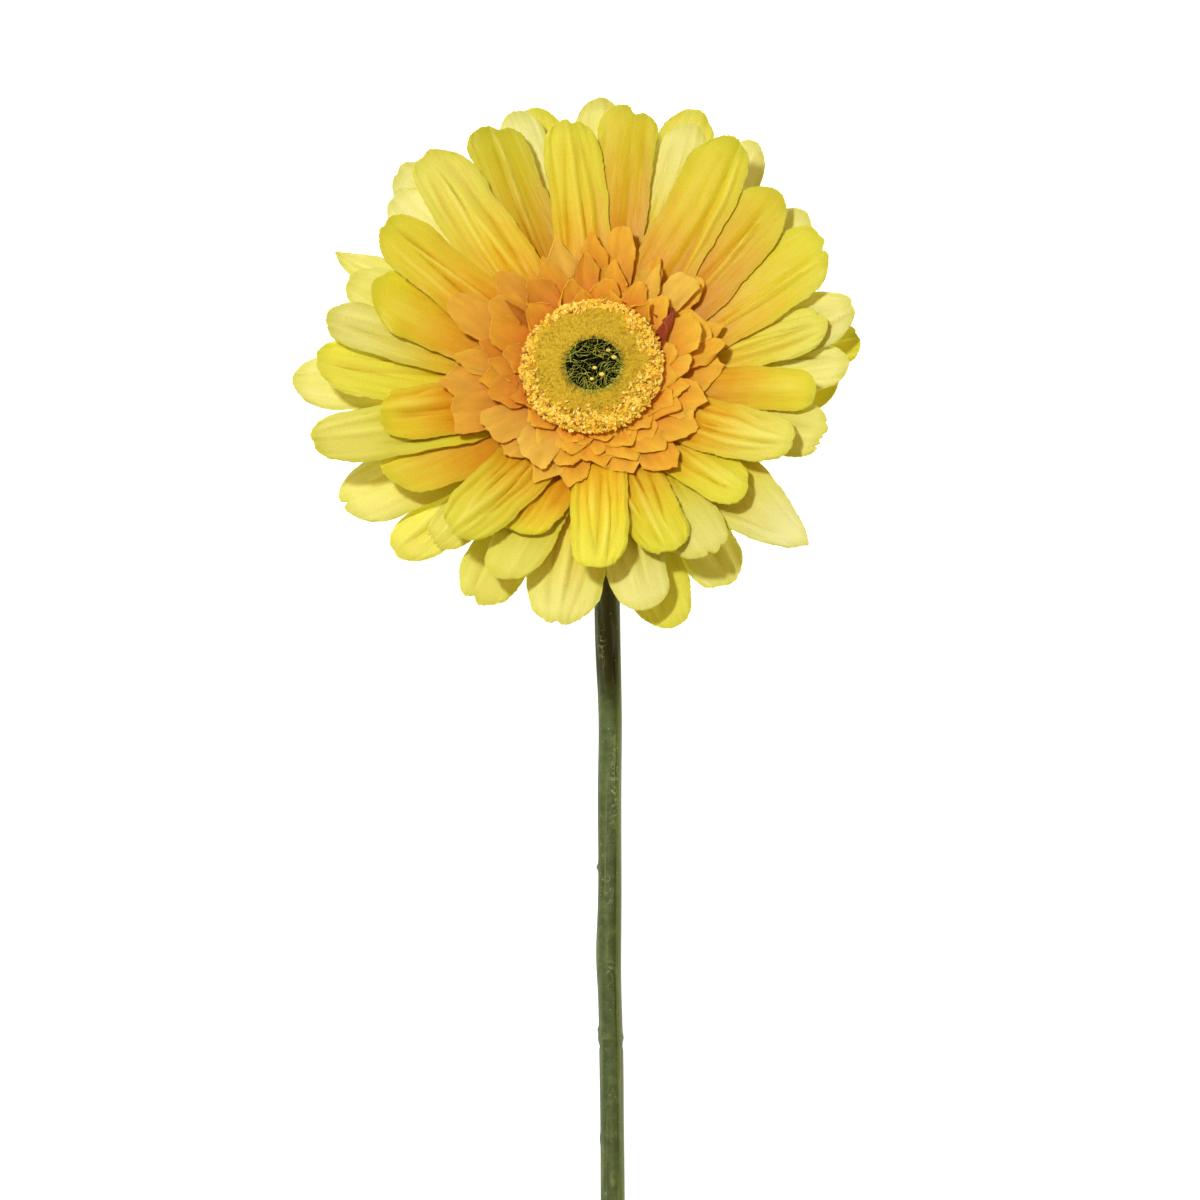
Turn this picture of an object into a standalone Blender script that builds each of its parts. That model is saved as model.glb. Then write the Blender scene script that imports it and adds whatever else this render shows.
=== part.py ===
"""Artificial cut gerbera, lying on its back with the head turned up to face the ceiling.

Units are metres and +Z is up. The flower rests on the plane z = 0: the stem lies along -Y, and the
longest back petals touch down on the far side of the head. The origin is under the middle of the
whole flower.

The head has a frame of its own. Its middle is HEAD_CENTRE, where the topmost petals meet the
receptacle, and its +Z is the way the flower faces. Every ring of petals follows its own dished
surface in that frame, so petals of different levels can overlap without touching.

A place round the head is given as on a clock face, in degrees clockwise from +Y, seen from above.
"""
import math

import bmesh
import bpy
from mathutils import Matrix, Vector

MM = 0.001

# --- Driving dimensions ---------------------------------------------------------------------

HEAD_CENTRE = Vector((3.7, 141.5, 25.5)) * MM
HEAD_TILT = math.radians(22)
LEAN_CLOCK = 348

GAP = 0.3 * MM

PETAL_THICKNESS = 0.6 * MM
FLORET_THICKNESS = 0.5 * MM
PETAL_BASE_RADIUS = 11.8 * MM
PETAL_BASE_WIDTH = 4.5 * MM

# The dished surfaces: level 0 is the top ring of petals, levels below it go back towards the
# stem, and the floret rows are levels -1 to -4. Heights are measured at SURFACE_RADIUS.
SURFACE_RADIUS = 60 * MM
LEVEL_STEP = 0.95 * MM
RISE, RISE_STEP = 10 * MM, 1.15 * MM
CUP, CUP_STEP = 8 * MM, 1.9 * MM
LOW_SIDE_LIFT = 5 * MM

# Petals that would reach under the table lie on it instead, the lowest level first.
LOWEST_RESTING_LEVEL = 6
RESTING_STEP = 0.9 * MM

DISC_SEEN_HEIGHT = 6 * MM
SPIGOT_RADIUS = 8 * MM
RECEPTACLE_RADIUS = PETAL_BASE_RADIUS - GAP
RECEPTACLE_BOTTOM = -7.3 * MM
CALYX_BOTTOM = -17.9 * MM
SOCKET_DEPTH = 5 * MM

STEM_RADIUS = 2.55 * MM
STEM_BORE_RADIUS = 1.15 * MM
WIRE_RADIUS = 0.8 * MM
STEM_END_Y = -200 * MM
NECK_LENGTH = 0.5 * MM
# On the table the stem swings a little to +X after the bend, then bows gently along its length.
STEM_SWING = 1.0 * MM
STEM_SWING_LENGTH = 25 * MM
STEM_BOW = 1.6 * MM
STEM_BOW_WAVES = 0.75

ROUND_STEPS = 28
TUBE_SIDES = 12

# Each petal: its place on the clock, how far its tip reaches from the disc's middle seen from
# above (mm), its width (mm), its level, and how blunt its tip is (the tip's width as a share of
# the petal's).
FRONT_PETALS = [
    (8, 54.8, 12.5, 1, 0.78), (32, 56.3, 13.5, 0, 0.50), (47, 53.5, 14.5, 1, 0.45),
    (62, 55.6, 15.5, 2, 0.66), (79, 50.4, 10.5, 3, 0.50), (94, 47.3, 9.5, 1, 0.72),
    (113, 44.7, 12, 0, 0.50), (130, 41.6, 11, 1, 0.50), (158, 42.0, 12, 1, 0.50),
    (178, 42.0, 12, 0, 0.55), (204, 38.0, 13.5, 1, 0.65), (220, 45.4, 13.5, 0, 0.50),
    (241, 48.7, 13, 2, 0.60), (257, 45.4, 12, 0, 0.70), (270, 57.8, 13, 3, 0.45),
    (291, 48.5, 15, 1, 0.58), (304, 52.5, 12, 0, 0.60), (322, 56.3, 13.5, 1, 0.50),
    (337, 54.4, 12.5, 2, 0.76), (355, 51.5, 12, 0, 0.66),
]
MIDDLE_PETALS = [
    (22, 55.0, 11, 2, 0.45), (54, 55.4, 12, 3, 0.50), (88, 54.0, 10.5, 4.5, 0.45),
    (105, 51.2, 13, 2, 0.60), (147, 46.6, 13.5, 2, 0.55), (168, 52.0, 12.5, 3, 0.45),
    (188, 54.4, 16, 4, 0.50), (203, 48.3, 12.5, 2, 0.45), (222, 49.8, 10, 3, 0.40),
    (255, 60.7, 12, 1, 0.50), (281, 56.3, 10.5, 2, 0.45), (290, 54.0, 12, 4, 0.50),
    (311, 54.8, 12, 3, 0.50), (344, 55.4, 11, 4, 0.55),
]
BACK_PETALS = [
    (2, 56.3, 11, 5, 0.50), (22, 58.2, 12, 6, 0.55), (36, 58.4, 11, 5, 0.35),
    (77, 56.7, 13, 3.75, 0.50), (83, 56.7, 12, 6, 0.50), (95, 51.9, 11, 7, 0.50),
    (129, 58.8, 17, 3, 0.15), (147, 53.8, 13, 6, 0.45), (164, 57.0, 13.5, 5, 0.40),
    (207, 55.2, 13.5, 5, 0.50), (226, 57.0, 12, 6, 0.40), (241, 60.0, 15, 5, 0.50),
    (268, 62.8, 13, 6, 0.45), (294, 58.6, 10, 5, 0.15), (316, 58.0, 11.5, 6, 0.55),
    (348, 55.2, 11, 6, 0.55),
]
# How much further the petals at the top reach (mm).
TOP_REACH = 1.3

# The floret rows, outermost first: number of florets and how far out they reach (mm).
FLORET_ROWS = [(18, 31.8), (18, 26.6), (17, 22.7), (16, 19.3)]
FLORET_ROOT_RADIUS = 12.5 * MM


# --- The head's frame and surfaces ----------------------------------------------------------

def clock_direction(clock):
    """Unit vector in the plane for a place on the clock face."""
    angle = math.radians(clock)
    return Vector((math.sin(angle), math.cos(angle)))


def head_frame():
    """Matrix from the head's own frame to the world."""
    lean = clock_direction(LEAN_CLOCK)
    turn_axis = Vector((-lean.y, lean.x, 0))
    return Matrix.Translation(HEAD_CENTRE) @ Matrix.Rotation(HEAD_TILT, 4, turn_axis)


HEAD = head_frame()
FACING = (HEAD.to_3x3() @ Vector((0, 0, 1))).normalized()


def surface_height(level, place):
    """Height of a level's surface over a point of the head's plane."""
    out = max(0, (place.length - PETAL_BASE_RADIUS) / (SURFACE_RADIUS - PETAL_BASE_RADIUS))
    rise = (RISE - RISE_STEP * level) * out
    cup = (CUP - CUP_STEP * level) * out ** 2
    low_side = (1 - place.normalized().dot(clock_direction(LEAN_CLOCK))) / 2
    return rise + cup + LOW_SIDE_LIFT * low_side * out ** 2 - LEVEL_STEP * level


def resting_height(level):
    """Lowest height above the table for a petal's middle surface."""
    return PETAL_THICKNESS / 2 + RESTING_STEP * max(0, LOWEST_RESTING_LEVEL - level)


def petal_point(level, place):
    """World position of a point of a level's surface, kept above the table."""
    point = HEAD @ Vector((place.x, place.y, surface_height(level, place)))
    point.z = max(point.z, resting_height(level))
    return point


def tip_place(clock, reach, level):
    """Point of the head's plane whose surface point is seen from above at this clock and reach."""
    across = Matrix([row[:2] for row in HEAD.to_3x3()[:2]])
    seen = clock_direction(clock) * reach
    place = seen.copy()
    for _ in range(20):
        shift = FACING.xy * (DISC_SEEN_HEIGHT - surface_height(level, place))
        place = across.inverted() @ (seen + shift)
    return place


# --- Helpers --------------------------------------------------------------------------------

def clear_scene():
    for item in list(bpy.data.objects):
        bpy.data.objects.remove(item)


def material(name, colour, roughness, metallic=0.0):
    """A Principled material with one colour."""
    made = bpy.data.materials.new(name)
    made.use_nodes = True
    shader = made.node_tree.nodes["Principled BSDF"]
    shader.inputs["Base Color"].default_value = (*colour, 1)
    shader.inputs["Roughness"].default_value = roughness
    shader.inputs["Metallic"].default_value = metallic
    return made


def add_object(name, bm, finish, smooth_under=math.radians(40)):
    """Turn a bmesh into a named object with its material."""
    bmesh.ops.recalc_face_normals(bm, faces=bm.faces)
    mesh = bpy.data.meshes.new(name)
    bm.to_mesh(mesh)
    bm.free()
    mesh.shade_smooth()
    mesh.set_sharp_from_angle(angle=smooth_under)
    mesh.materials.append(finish)
    made = bpy.data.objects.new(name, mesh)
    bpy.context.scene.collection.objects.link(made)
    return made


def thicken(sheet, thickness):
    """Give a single sheet its thickness, half to each side."""
    solid = sheet.modifiers.new("thickness", "SOLIDIFY")
    solid.thickness = thickness
    solid.offset = 0


def turned(name, profile, finish):
    """A solid of revolution about the head's axis, from (radius, height) points on the axis."""
    bm = bmesh.new()
    points = [bm.verts.new((radius, 0, height)) for radius, height in profile]
    edges = [bm.edges.new(pair) for pair in zip(points, points[1:])]
    bmesh.ops.spin(bm, geom=points + edges, cent=(0, 0, 0), axis=(0, 0, 1),
                   angle=2 * math.pi, steps=ROUND_STEPS, use_merge=True)
    bmesh.ops.remove_doubles(bm, verts=bm.verts, dist=0.001 * MM)
    made = add_object(name, bm, finish)
    made.matrix_world = HEAD
    return made


def path_frames(path):
    """Two vectors across the path at each of its points, turning with it but never twisting."""
    frames = []
    across = Vector((1, 0, 0))
    for index in range(len(path)):
        before = path[max(0, index - 1)]
        after = path[min(len(path) - 1, index + 1)]
        along = (after - before).normalized()
        across = (across - along * across.dot(along)).normalized()
        frames.append((across.copy(), along.cross(across)))
    return frames


def sweep(bm, path, radius):
    """Rings of vertices of one radius along a path."""
    rings = []
    for point, (across, up) in zip(path, path_frames(path)):
        ring = []
        for side in range(TUBE_SIDES):
            angle = 2 * math.pi * side / TUBE_SIDES
            offset = across * math.cos(angle) + up * math.sin(angle)
            ring.append(bm.verts.new(point + offset * radius))
        rings.append(ring)
    return rings


def join_rings(bm, first, second):
    """Quads between two rings with the same number of vertices."""
    for side in range(TUBE_SIDES):
        after = (side + 1) % TUBE_SIDES
        bm.faces.new((first[side], first[after], second[after], second[side]))


# --- Petals and florets ---------------------------------------------------------------------

PETAL_ROWS = 7
WIDEST_AT = 0.5
TIP_TAPER = 5
TIP_DROP = 0.07


def petal_half_width(along, width, tip_share):
    """Half of a petal's width, a share of the way from its base to its tip."""
    base = PETAL_BASE_WIDTH / 2
    if along < WIDEST_AT:
        part = along / WIDEST_AT
        return base + (width / 2 - base) * part * part * (3 - 2 * part)
    part = (along - WIDEST_AT) / (1 - WIDEST_AT)
    return width / 2 * (1 - (1 - tip_share) * part ** TIP_TAPER)


def make_petal(name, clock, reach, width, level, tip_share, finish):
    """One cloth petal: a strip three points wide laid on its level's surface."""
    top = max(0, math.cos(math.radians(clock + 20)))
    tip = tip_place(clock, (reach + TOP_REACH * top) * MM, level)
    axis = tip.normalized()
    side = Vector((axis.y, -axis.x))
    bm = bmesh.new()
    rows = []
    for step in range(PETAL_ROWS + 1):
        along = 1 - (1 - step / PETAL_ROWS) ** 1.4
        row = []
        for across in (-1, 0, 1):
            out = (tip.length - PETAL_BASE_RADIUS) * along
            out *= 1 - TIP_DROP * along ** TIP_TAPER * abs(across)
            half_width = petal_half_width(along, width * MM, tip_share)
            place = axis * (PETAL_BASE_RADIUS + out) + side * half_width * across
            row.append(bm.verts.new(petal_point(level, place)))
        rows.append(row)
    for lower, upper in zip(rows, rows[1:]):
        for left in (0, 1):
            bm.faces.new((lower[left], lower[left + 1], upper[left + 1], upper[left]))
    thicken(add_object(name, bm, finish), PETAL_THICKNESS)


def make_petals(ring_name, petals, finish):
    for number, petal in enumerate(petals, start=1):
        make_petal(f"{ring_name}_petal_{number:02d}", *petal, finish)


def make_floret_row(name, level, count, reach, finish):
    """One die-cut rosette: a collar round the receptacle's spigot with pointed florets."""
    bm = bmesh.new()

    def vertex(step, radius):
        turn = clock_direction(step * 360 / count + 11 * level)
        place = turn * radius
        height = surface_height(level, place)
        return bm.verts.new((place.x, place.y, height))

    middle = FLORET_ROOT_RADIUS + (reach - FLORET_ROOT_RADIUS) * 0.6
    inner = [vertex(half / 2, SPIGOT_RADIUS + GAP) for half in range(2 * count)]
    root = [vertex(half / 2, FLORET_ROOT_RADIUS) for half in range(2 * count)]
    for half in range(2 * count):
        after = (half + 1) % (2 * count)
        bm.faces.new((inner[half], inner[after], root[after], root[half]))
    for floret in range(count):
        left, heart = root[2 * floret], root[2 * floret + 1]
        right = root[(2 * floret + 2) % (2 * count)]
        mid_left = vertex(floret + 0.1, middle)
        mid_heart = vertex(floret + 0.5, middle)
        mid_right = vertex(floret + 0.9, middle)
        tip = vertex(floret + 0.5, reach)
        bm.faces.new((left, heart, mid_heart, mid_left))
        bm.faces.new((heart, right, mid_right, mid_heart))
        bm.faces.new((mid_left, mid_heart, tip))
        bm.faces.new((mid_heart, mid_right, tip))
    made = add_object(name, bm, finish)
    made.matrix_world = HEAD
    thicken(made, FLORET_THICKNESS)


def make_floret_rows(finish):
    for number, (count, reach) in enumerate(FLORET_ROWS, start=1):
        make_floret_row(f"floret_row_{number}", -number, count, reach * MM, finish)


# --- The flower's centre and what carries it ------------------------------------------------

TOP_COLLAR = surface_height(-len(FLORET_ROWS), Vector((0, FLORET_ROOT_RADIUS)))
DISC_BOTTOM = TOP_COLLAR + FLORET_THICKNESS / 2 + GAP
PIT_FLOOR = 3.3 * MM
SHOULDER = 0.35 * MM

# Turned outlines as (radius, height) in mm. The disc's heights are above its underside, the
# tuft's above the pit's floor, and the calyx's above its mouth.
DISC_OUTLINE = [
    (0, 0), (12, 0), (14.4, 1.1), (15, 2.1), (14.4, 3.0), (12.8, 3.5), (10.8, 3.6),
    (8.5, 4.2), (6.6, 4.6), (6, 4.3), (5.7, 3.3), (0, 3.3),
]
TUFT_OUTLINE = [(0, 0), (5.4, 0), (5.4, 0.6), (3.8, 1.3), (0, 1.7)]
CALYX_OUTLINE = [(3.75, 0), (5, 1.6), (8.4, 4), (11.2, 7.2), (13.4, 9.4), (13.9, 10.3), (0, 10.3)]


def raised(outline, height):
    """An outline in mm as points in metres, standing on a height."""
    return [(radius * MM, height + above * MM) for radius, above in outline]


def make_disc(finish):
    """The domed centre: a raised pollen ring at its rim and a shallow pit in its middle."""
    turned("flower_disc", raised(DISC_OUTLINE, DISC_BOTTOM), finish)


def make_tuft(finish):
    """The clump of dark filaments that fills the pit."""
    turned("centre_tuft", raised(TUFT_OUTLINE, DISC_BOTTOM + PIT_FLOOR + GAP), finish)


def make_receptacle(finish):
    """The core: petals end round its flank, rosettes sit round its spigot, the disc caps it."""
    top = DISC_BOTTOM - GAP
    turned("receptacle", [
        (0, RECEPTACLE_BOTTOM), (RECEPTACLE_RADIUS, RECEPTACLE_BOTTOM),
        (RECEPTACLE_RADIUS, SHOULDER), (SPIGOT_RADIUS, SHOULDER), (SPIGOT_RADIUS, top), (0, top),
    ], finish)


def make_calyx(finish):
    """The green cup behind the petals, with the socket that the stem plugs into."""
    ceiling = CALYX_BOTTOM + SOCKET_DEPTH
    bore = STEM_RADIUS + GAP
    socket = [(0, ceiling), (bore, ceiling), (bore, CALYX_BOTTOM)]
    turned("calyx", socket + raised(CALYX_OUTLINE, CALYX_BOTTOM), finish)


# --- Stem and wire --------------------------------------------------------------------------

STEM_BEND_STEPS = 12
STEM_RUN_STEPS = 22


def stem_path(start_depth):
    """Centre line of the stem: out of the calyx, round the neck's bend, then along the table.

    start_depth is how far inside the socket the line starts, measured from the calyx's mouth.
    """
    mouth = HEAD @ Vector((0, 0, CALYX_BOTTOM))
    bend_start = mouth - FACING * NECK_LENGTH
    along_table = Vector((0, -1, 0))
    turn = FACING.angle(-along_table)
    radius = (bend_start.z - STEM_RADIUS) / (1 - math.cos(turn))
    path = [mouth + FACING * start_depth, bend_start]
    stride = 2 * radius * math.sin(turn / STEM_BEND_STEPS / 2)
    for step in range(STEM_BEND_STEPS):
        heading = (-FACING).slerp(along_table, (step + 0.5) / STEM_BEND_STEPS)
        path.append(path[-1] + heading * stride)
    last = path[-1]
    run = last.y - STEM_END_Y
    for step in range(1, STEM_RUN_STEPS + 1):
        part = step / STEM_RUN_STEPS
        sideways = STEM_SWING * (1 - math.exp(-part * run / STEM_SWING_LENGTH))
        sideways += STEM_BOW * part * math.sin(part * 2 * math.pi * STEM_BOW_WAVES) ** 2
        path.append(Vector((last.x + sideways, last.y - part * run, STEM_RADIUS)))
    return path


def make_stem(finish):
    """A moulded tube with an open bore from end to end for the wire."""
    bm = bmesh.new()
    path = stem_path(SOCKET_DEPTH - GAP)
    outside = sweep(bm, path, STEM_RADIUS)
    inside = sweep(bm, path, STEM_BORE_RADIUS)
    for wall in (outside, inside):
        for first, second in zip(wall, wall[1:]):
            join_rings(bm, first, second)
    join_rings(bm, outside[0], inside[0])
    join_rings(bm, outside[-1], inside[-1])
    add_object("stem", bm, finish)


def make_wire(finish):
    """The steel wire in the stem's bore, flush with the cut end."""
    bm = bmesh.new()
    rings = sweep(bm, stem_path(SOCKET_DEPTH - 2 * GAP), WIRE_RADIUS)
    for first, second in zip(rings, rings[1:]):
        join_rings(bm, first, second)
    bm.faces.new(rings[0])
    bm.faces.new(rings[-1])
    add_object("stem_wire", bm, finish)


# --- The whole flower -----------------------------------------------------------------------

def main():
    clear_scene()
    make_petals("front", FRONT_PETALS, material("front_petal_cloth", (0.80, 0.56, 0.05), 0.75))
    make_petals("middle", MIDDLE_PETALS, material("middle_petal_cloth", (0.82, 0.70, 0.12), 0.75))
    make_petals("back", BACK_PETALS, material("back_petal_cloth", (0.78, 0.74, 0.20), 0.75))
    make_floret_rows(material("floret_cloth", (0.78, 0.36, 0.05), 0.75))
    make_disc(material("disc_foam", (0.62, 0.50, 0.06), 0.85))
    make_tuft(material("tuft_fibre", (0.03, 0.04, 0.01), 0.6))
    make_receptacle(material("receptacle_plastic", (0.30, 0.33, 0.12), 0.6))
    make_calyx(material("calyx_plastic", (0.12, 0.17, 0.05), 0.55))
    make_stem(material("stem_plastic", (0.11, 0.16, 0.05), 0.5))
    make_wire(material("wire_steel", (0.55, 0.55, 0.56), 0.35, metallic=1.0))


main()
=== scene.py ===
# %% [markdown]
# # An artificial cut gerbera
#
# The flower lies on its back on a pale table, with its head turned up. A real one of this kind is dyed
# polyester cloth: petals are stamped out, pressed in a hot brass mould that leaves ridges in them, and
# threaded ring by ring onto a moulded core. The CAD model fixes every size and place, and this script
# builds what you see for each part of it.

import math
from functools import partial

import bmesh
import bpy
import numpy as np
from mathutils import Matrix, Vector


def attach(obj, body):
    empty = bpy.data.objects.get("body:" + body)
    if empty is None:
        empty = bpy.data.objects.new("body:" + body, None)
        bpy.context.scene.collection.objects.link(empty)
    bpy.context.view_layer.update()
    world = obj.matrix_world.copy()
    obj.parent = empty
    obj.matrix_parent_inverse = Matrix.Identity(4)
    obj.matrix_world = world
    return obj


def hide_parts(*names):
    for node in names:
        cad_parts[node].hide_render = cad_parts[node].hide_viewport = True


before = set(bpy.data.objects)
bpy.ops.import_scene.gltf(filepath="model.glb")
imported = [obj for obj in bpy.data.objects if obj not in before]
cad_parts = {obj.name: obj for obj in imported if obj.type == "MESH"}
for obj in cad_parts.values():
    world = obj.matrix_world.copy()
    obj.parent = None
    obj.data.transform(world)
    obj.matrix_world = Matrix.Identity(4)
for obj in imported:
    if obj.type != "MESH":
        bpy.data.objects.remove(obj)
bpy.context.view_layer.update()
print("CAD nodes:", len(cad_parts))

# %% [markdown]
# ## Units and helpers for materials
#
# Blender works in metres and flowers are easier in millimetres, so a size is a number times `MM`.
# Colours are sRGB hex values, as a paint program shows them, and `linear` turns them into what a shader
# needs. `add_node` adds a node: its inputs are a list in the order of its sockets, or a dict by name,
# and another node among them is linked from its first output.

# %% Colour and node helpers
MM = 0.001


def linear(hex_colour):
    """An sRGB hex colour as the linear RGBA that a shader needs."""
    shares = [int(hex_colour[at:at + 2], 16) / 255 for at in (1, 3, 5)]
    return (*(s / 12.92 if s <= 0.04045 else ((s + 0.055) / 1.055) ** 2.4 for s in shares), 1)


def fill(node, inputs):
    sockets = [socket for socket in node.inputs if socket.enabled]
    for socket, value in inputs.items() if isinstance(inputs, dict) else zip(sockets, inputs):
        if isinstance(socket, str):
            socket = node.inputs[socket]
        if isinstance(value, bpy.types.Node):
            value = next(output for output in value.outputs if output.enabled)
        if isinstance(value, bpy.types.NodeSocket):
            node.id_data.links.new(value, socket)
        else:
            socket.default_value = linear(value) if isinstance(value, str) else value


def add_node(tree, kind, inputs=(), stops=(), **settings):
    node = tree.nodes.new("ShaderNode" + kind)
    for name, value in settings.items():
        setattr(node, name, value)
    fill(node, inputs)
    for _ in stops[2:]:
        node.color_ramp.elements.new(0.5)
    for at, (place, colour) in enumerate(stops):
        node.color_ramp.elements[at].position = place
        node.color_ramp.elements[at].color = linear(colour)
    return node


def new_material(name, **constants):
    """A Principled material, its shader with these sockets set, and add_node for its tree."""
    made = bpy.data.materials.new(name)
    made.use_nodes = True
    shader = made.node_tree.nodes["Principled BSDF"]
    fill(shader, {socket.replace("_", " "): value for socket, value in constants.items()})
    return made, shader, partial(add_node, made.node_tree)


print("warm orange in linear light:", [round(v, 3) for v in linear("#E8A030")])

# %% [markdown]
# ## The head's frame
#
# The head leans back 22 degrees, so it has a frame of its own: its middle is where the top petals meet
# the core and its Z is the way the flower faces. Petals lie on dished surfaces, one under the other, and
# a petal's level says which one. The same numbers shaped the CAD, so each cloth petal lands on the solid
# that it stands for. Directions are in degrees, clockwise from the top of a clock face.

# %% The head's frame and its dished surfaces
HEAD_CENTRE = Vector((3.7, 141.5, 25.5)) * MM
HEAD_TILT = math.radians(22)
LEAN_CLOCK = 348
PETAL_BASE = 11.8
SURFACE_RADIUS = 60
LEVEL_STEP = 0.95
RISE, RISE_STEP = 10, 1.15
CUP, CUP_STEP = 8, 1.9
LOW_SIDE_LIFT = 5
DISC_SEEN_HEIGHT = 6


def clock_direction(clock):
    angle = math.radians(clock)
    return np.array((math.sin(angle), math.cos(angle)))


lean = clock_direction(LEAN_CLOCK)
HEAD = Matrix.Translation(HEAD_CENTRE) @ Matrix.Rotation(HEAD_TILT, 4, Vector((-lean[1], lean[0], 0)))
TURN = np.array(HEAD.to_3x3())
FACING = TURN[:, 2]


def to_world(points):
    """Points of the head's frame, in mm, as world points in mm."""
    return points @ TURN.T + np.array(HEAD_CENTRE) / MM


def out_share(place):
    """0 at the petals' bases, 1 at 60 mm from the head's middle."""
    return np.clip((np.linalg.norm(place, axis=-1) - PETAL_BASE) / (SURFACE_RADIUS - PETAL_BASE), 0, None)


def surface_height(level, place):
    """Height of a level's dished surface over a place in the head's plane, in mm."""
    out = out_share(place)
    lift = LOW_SIDE_LIFT * (1 - (place @ lean) / np.linalg.norm(place, axis=-1)) / 2 * out ** 2
    return (RISE - RISE_STEP * level) * out + (CUP - CUP_STEP * level) * out ** 2 + lift - LEVEL_STEP * level


def tip_place(clock, reach, level):
    """The place whose surface point is seen from above at this clock and reach."""
    place = seen = clock_direction(clock) * reach
    for _ in range(20):
        shift = FACING[:2] * (DISC_SEEN_HEIGHT - surface_height(level, place))
        place = np.linalg.solve(TURN[:2, :2], seen + shift)
    return place


print("the head faces", np.round(FACING, 3))

# %% [markdown]
# ## A strip of cloth
#
# Petals and florets are the same thing at two sizes: a strip of stiffened cloth with a narrow base and a
# shaped end. Each is a grid of points along and across the strip, so its ridges follow its outline, as
# pressed ridges do. Two copies of the grid, a cloth's thickness apart, and a band round the rim close it
# into a solid with a real cut edge. NumPy builds thousands of points quickly, and the grid gives the
# material the along-and-across values that it needs.

# %% Steps, humps and folds
def smooth_step(low, high, value):
    part = np.clip((value - low) / (high - low), 0, 1)
    return part * part * (3 - 2 * part)


def bump_at(value, centre, width):
    """A smooth hump."""
    return np.exp(-((value - centre) / width) ** 2)


def fold_at(value, centre, width):
    """A hump with a sharp crest, as a pressed fold has."""
    return np.exp(-(np.abs((value - centre) / width) + 0.02) ** 1.15)


def unit(vectors):
    return vectors / np.linalg.norm(vectors, axis=-1, keepdims=True)


print("a fold's height, from its crest outwards:", fold_at(np.arange(4) / 2, 0, 1).round(2))


# %% Cloth strips as closed meshes
def new_mesh(name, points, faces, fields, sharp):
    """A mesh from world points in mm, with fields for its material and edges sharp from some degrees."""
    mesh = bpy.data.meshes.new(name)
    mesh.from_pydata((points * MM).tolist(), [], faces)
    for field, values in fields.items():
        kind, key = ("FLOAT", "value") if np.ndim(values) == 1 else ("FLOAT_VECTOR", "vector")
        attribute = mesh.attributes.new(field, kind, "POINT")
        attribute.data.foreach_set(key, np.asarray(values, np.float32).ravel())
    mesh.shade_smooth()
    mesh.set_sharp_from_angle(angle=math.radians(sharp))
    return mesh


def cloth_mesh(name, strips, thickness):
    """One mesh from strips, each (its grid of world points, its flat grid in mm, its material fields)."""
    points, faces, flats, fields = [], [], [], []
    for middle, flat, its_fields in strips:
        start, count = sum(map(len, points)), middle[..., 0].size
        offset = unit(np.cross(np.gradient(middle, axis=1), np.gradient(middle, axis=0))) * thickness / 2
        points.append(np.concatenate([middle + offset, middle - offset]).reshape(-1, 3))
        index = np.arange(count).reshape(middle.shape[:2])
        top = np.stack([index[:-1, :-1], index[:-1, 1:], index[1:, 1:], index[1:, :-1]], axis=-1).reshape(-1, 4)
        loop = np.concatenate([index[0, :-1], index[:-1, -1], index[-1, :0:-1], index[:0:-1, 0]])
        after = np.roll(loop, -1)
        rim = np.stack([loop + count, after + count, after, loop], axis=1)
        quads = np.concatenate([top, top[:, ::-1] + count, rim])
        faces.append(quads + start)
        flats.append(flat.reshape(-1, 2)[quads.ravel() % count])
        both = {field: np.concatenate([values, values]).reshape(-1, 3) for field, values in its_fields.items()}
        both["strip"][count:, 2] = 0
        fields.append(both)
    mesh = new_mesh(name, np.concatenate(points), np.concatenate(faces).tolist(),
                    {field: np.concatenate([each[field] for each in fields]) for field in fields[0]}, 60)
    cloth_uv = mesh.uv_layers.new(name="cloth_mm")
    cloth_uv.data.foreach_set("uv", np.concatenate(flats).astype(np.float32).ravel())
    return mesh


def place_piece(mesh, material, node):
    """Put a finished mesh in the scene, riding on the flower and standing for a CAD node."""
    piece = bpy.data.objects.new(mesh.name, mesh)
    bpy.context.scene.collection.objects.link(piece)
    mesh.materials.append(material)
    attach(piece, "root")
    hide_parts(node)
    print(mesh.name, "faces:", len(mesh.polygons))


# %% [markdown]
# ## The outline of a strip
#
# A petal widens from a narrow root and ends in a half ellipse. Its tip may be blunt or pointed, pulled
# to one side or notched, and the cut edge is never quite clean. All of that comes from two grid values,
# along (0 to 1) and across (-1 to 1).

# %% Outline
def strip_outline(along, across, length, width, root_width, tip_length, power, widest_at, end_share):
    """(sideways, forwards) in mm of each grid point. end_share is how wide the last row is."""
    drop = tip_length * (1 - np.sqrt(1 - (end_share * np.abs(across)) ** (1 / power)))
    forwards = along * length - drop * along ** 6
    edge = forwards[:, -1:]
    root = root_width / width
    body = root + (1 - root) * smooth_step(0, widest_at, edge / length)
    end = (1 - (1 - np.clip((length - edge) / tip_length, 0, 1)) ** 2) ** power
    return across * (width / 2) * body * end, forwards


def strip_grid(rows, columns):
    along = 1 - (1 - np.linspace(0, 1, rows + 1)) ** 1.35
    across = np.sin(np.linspace(-1, 1, columns + 1) * 1.25) / math.sin(1.25)
    return np.meshgrid(along, across, indexing="ij")


def laid_out(axis, base, sideways, forwards):
    """Places in the head's plane of a strip that points along axis from a base radius."""
    side = np.array((axis[1], -axis[0]))
    return axis * (base + forwards)[..., None] + side * sideways[..., None]


print("a small grid's places across:", strip_grid(2, 6)[1][0].round(2))

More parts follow.
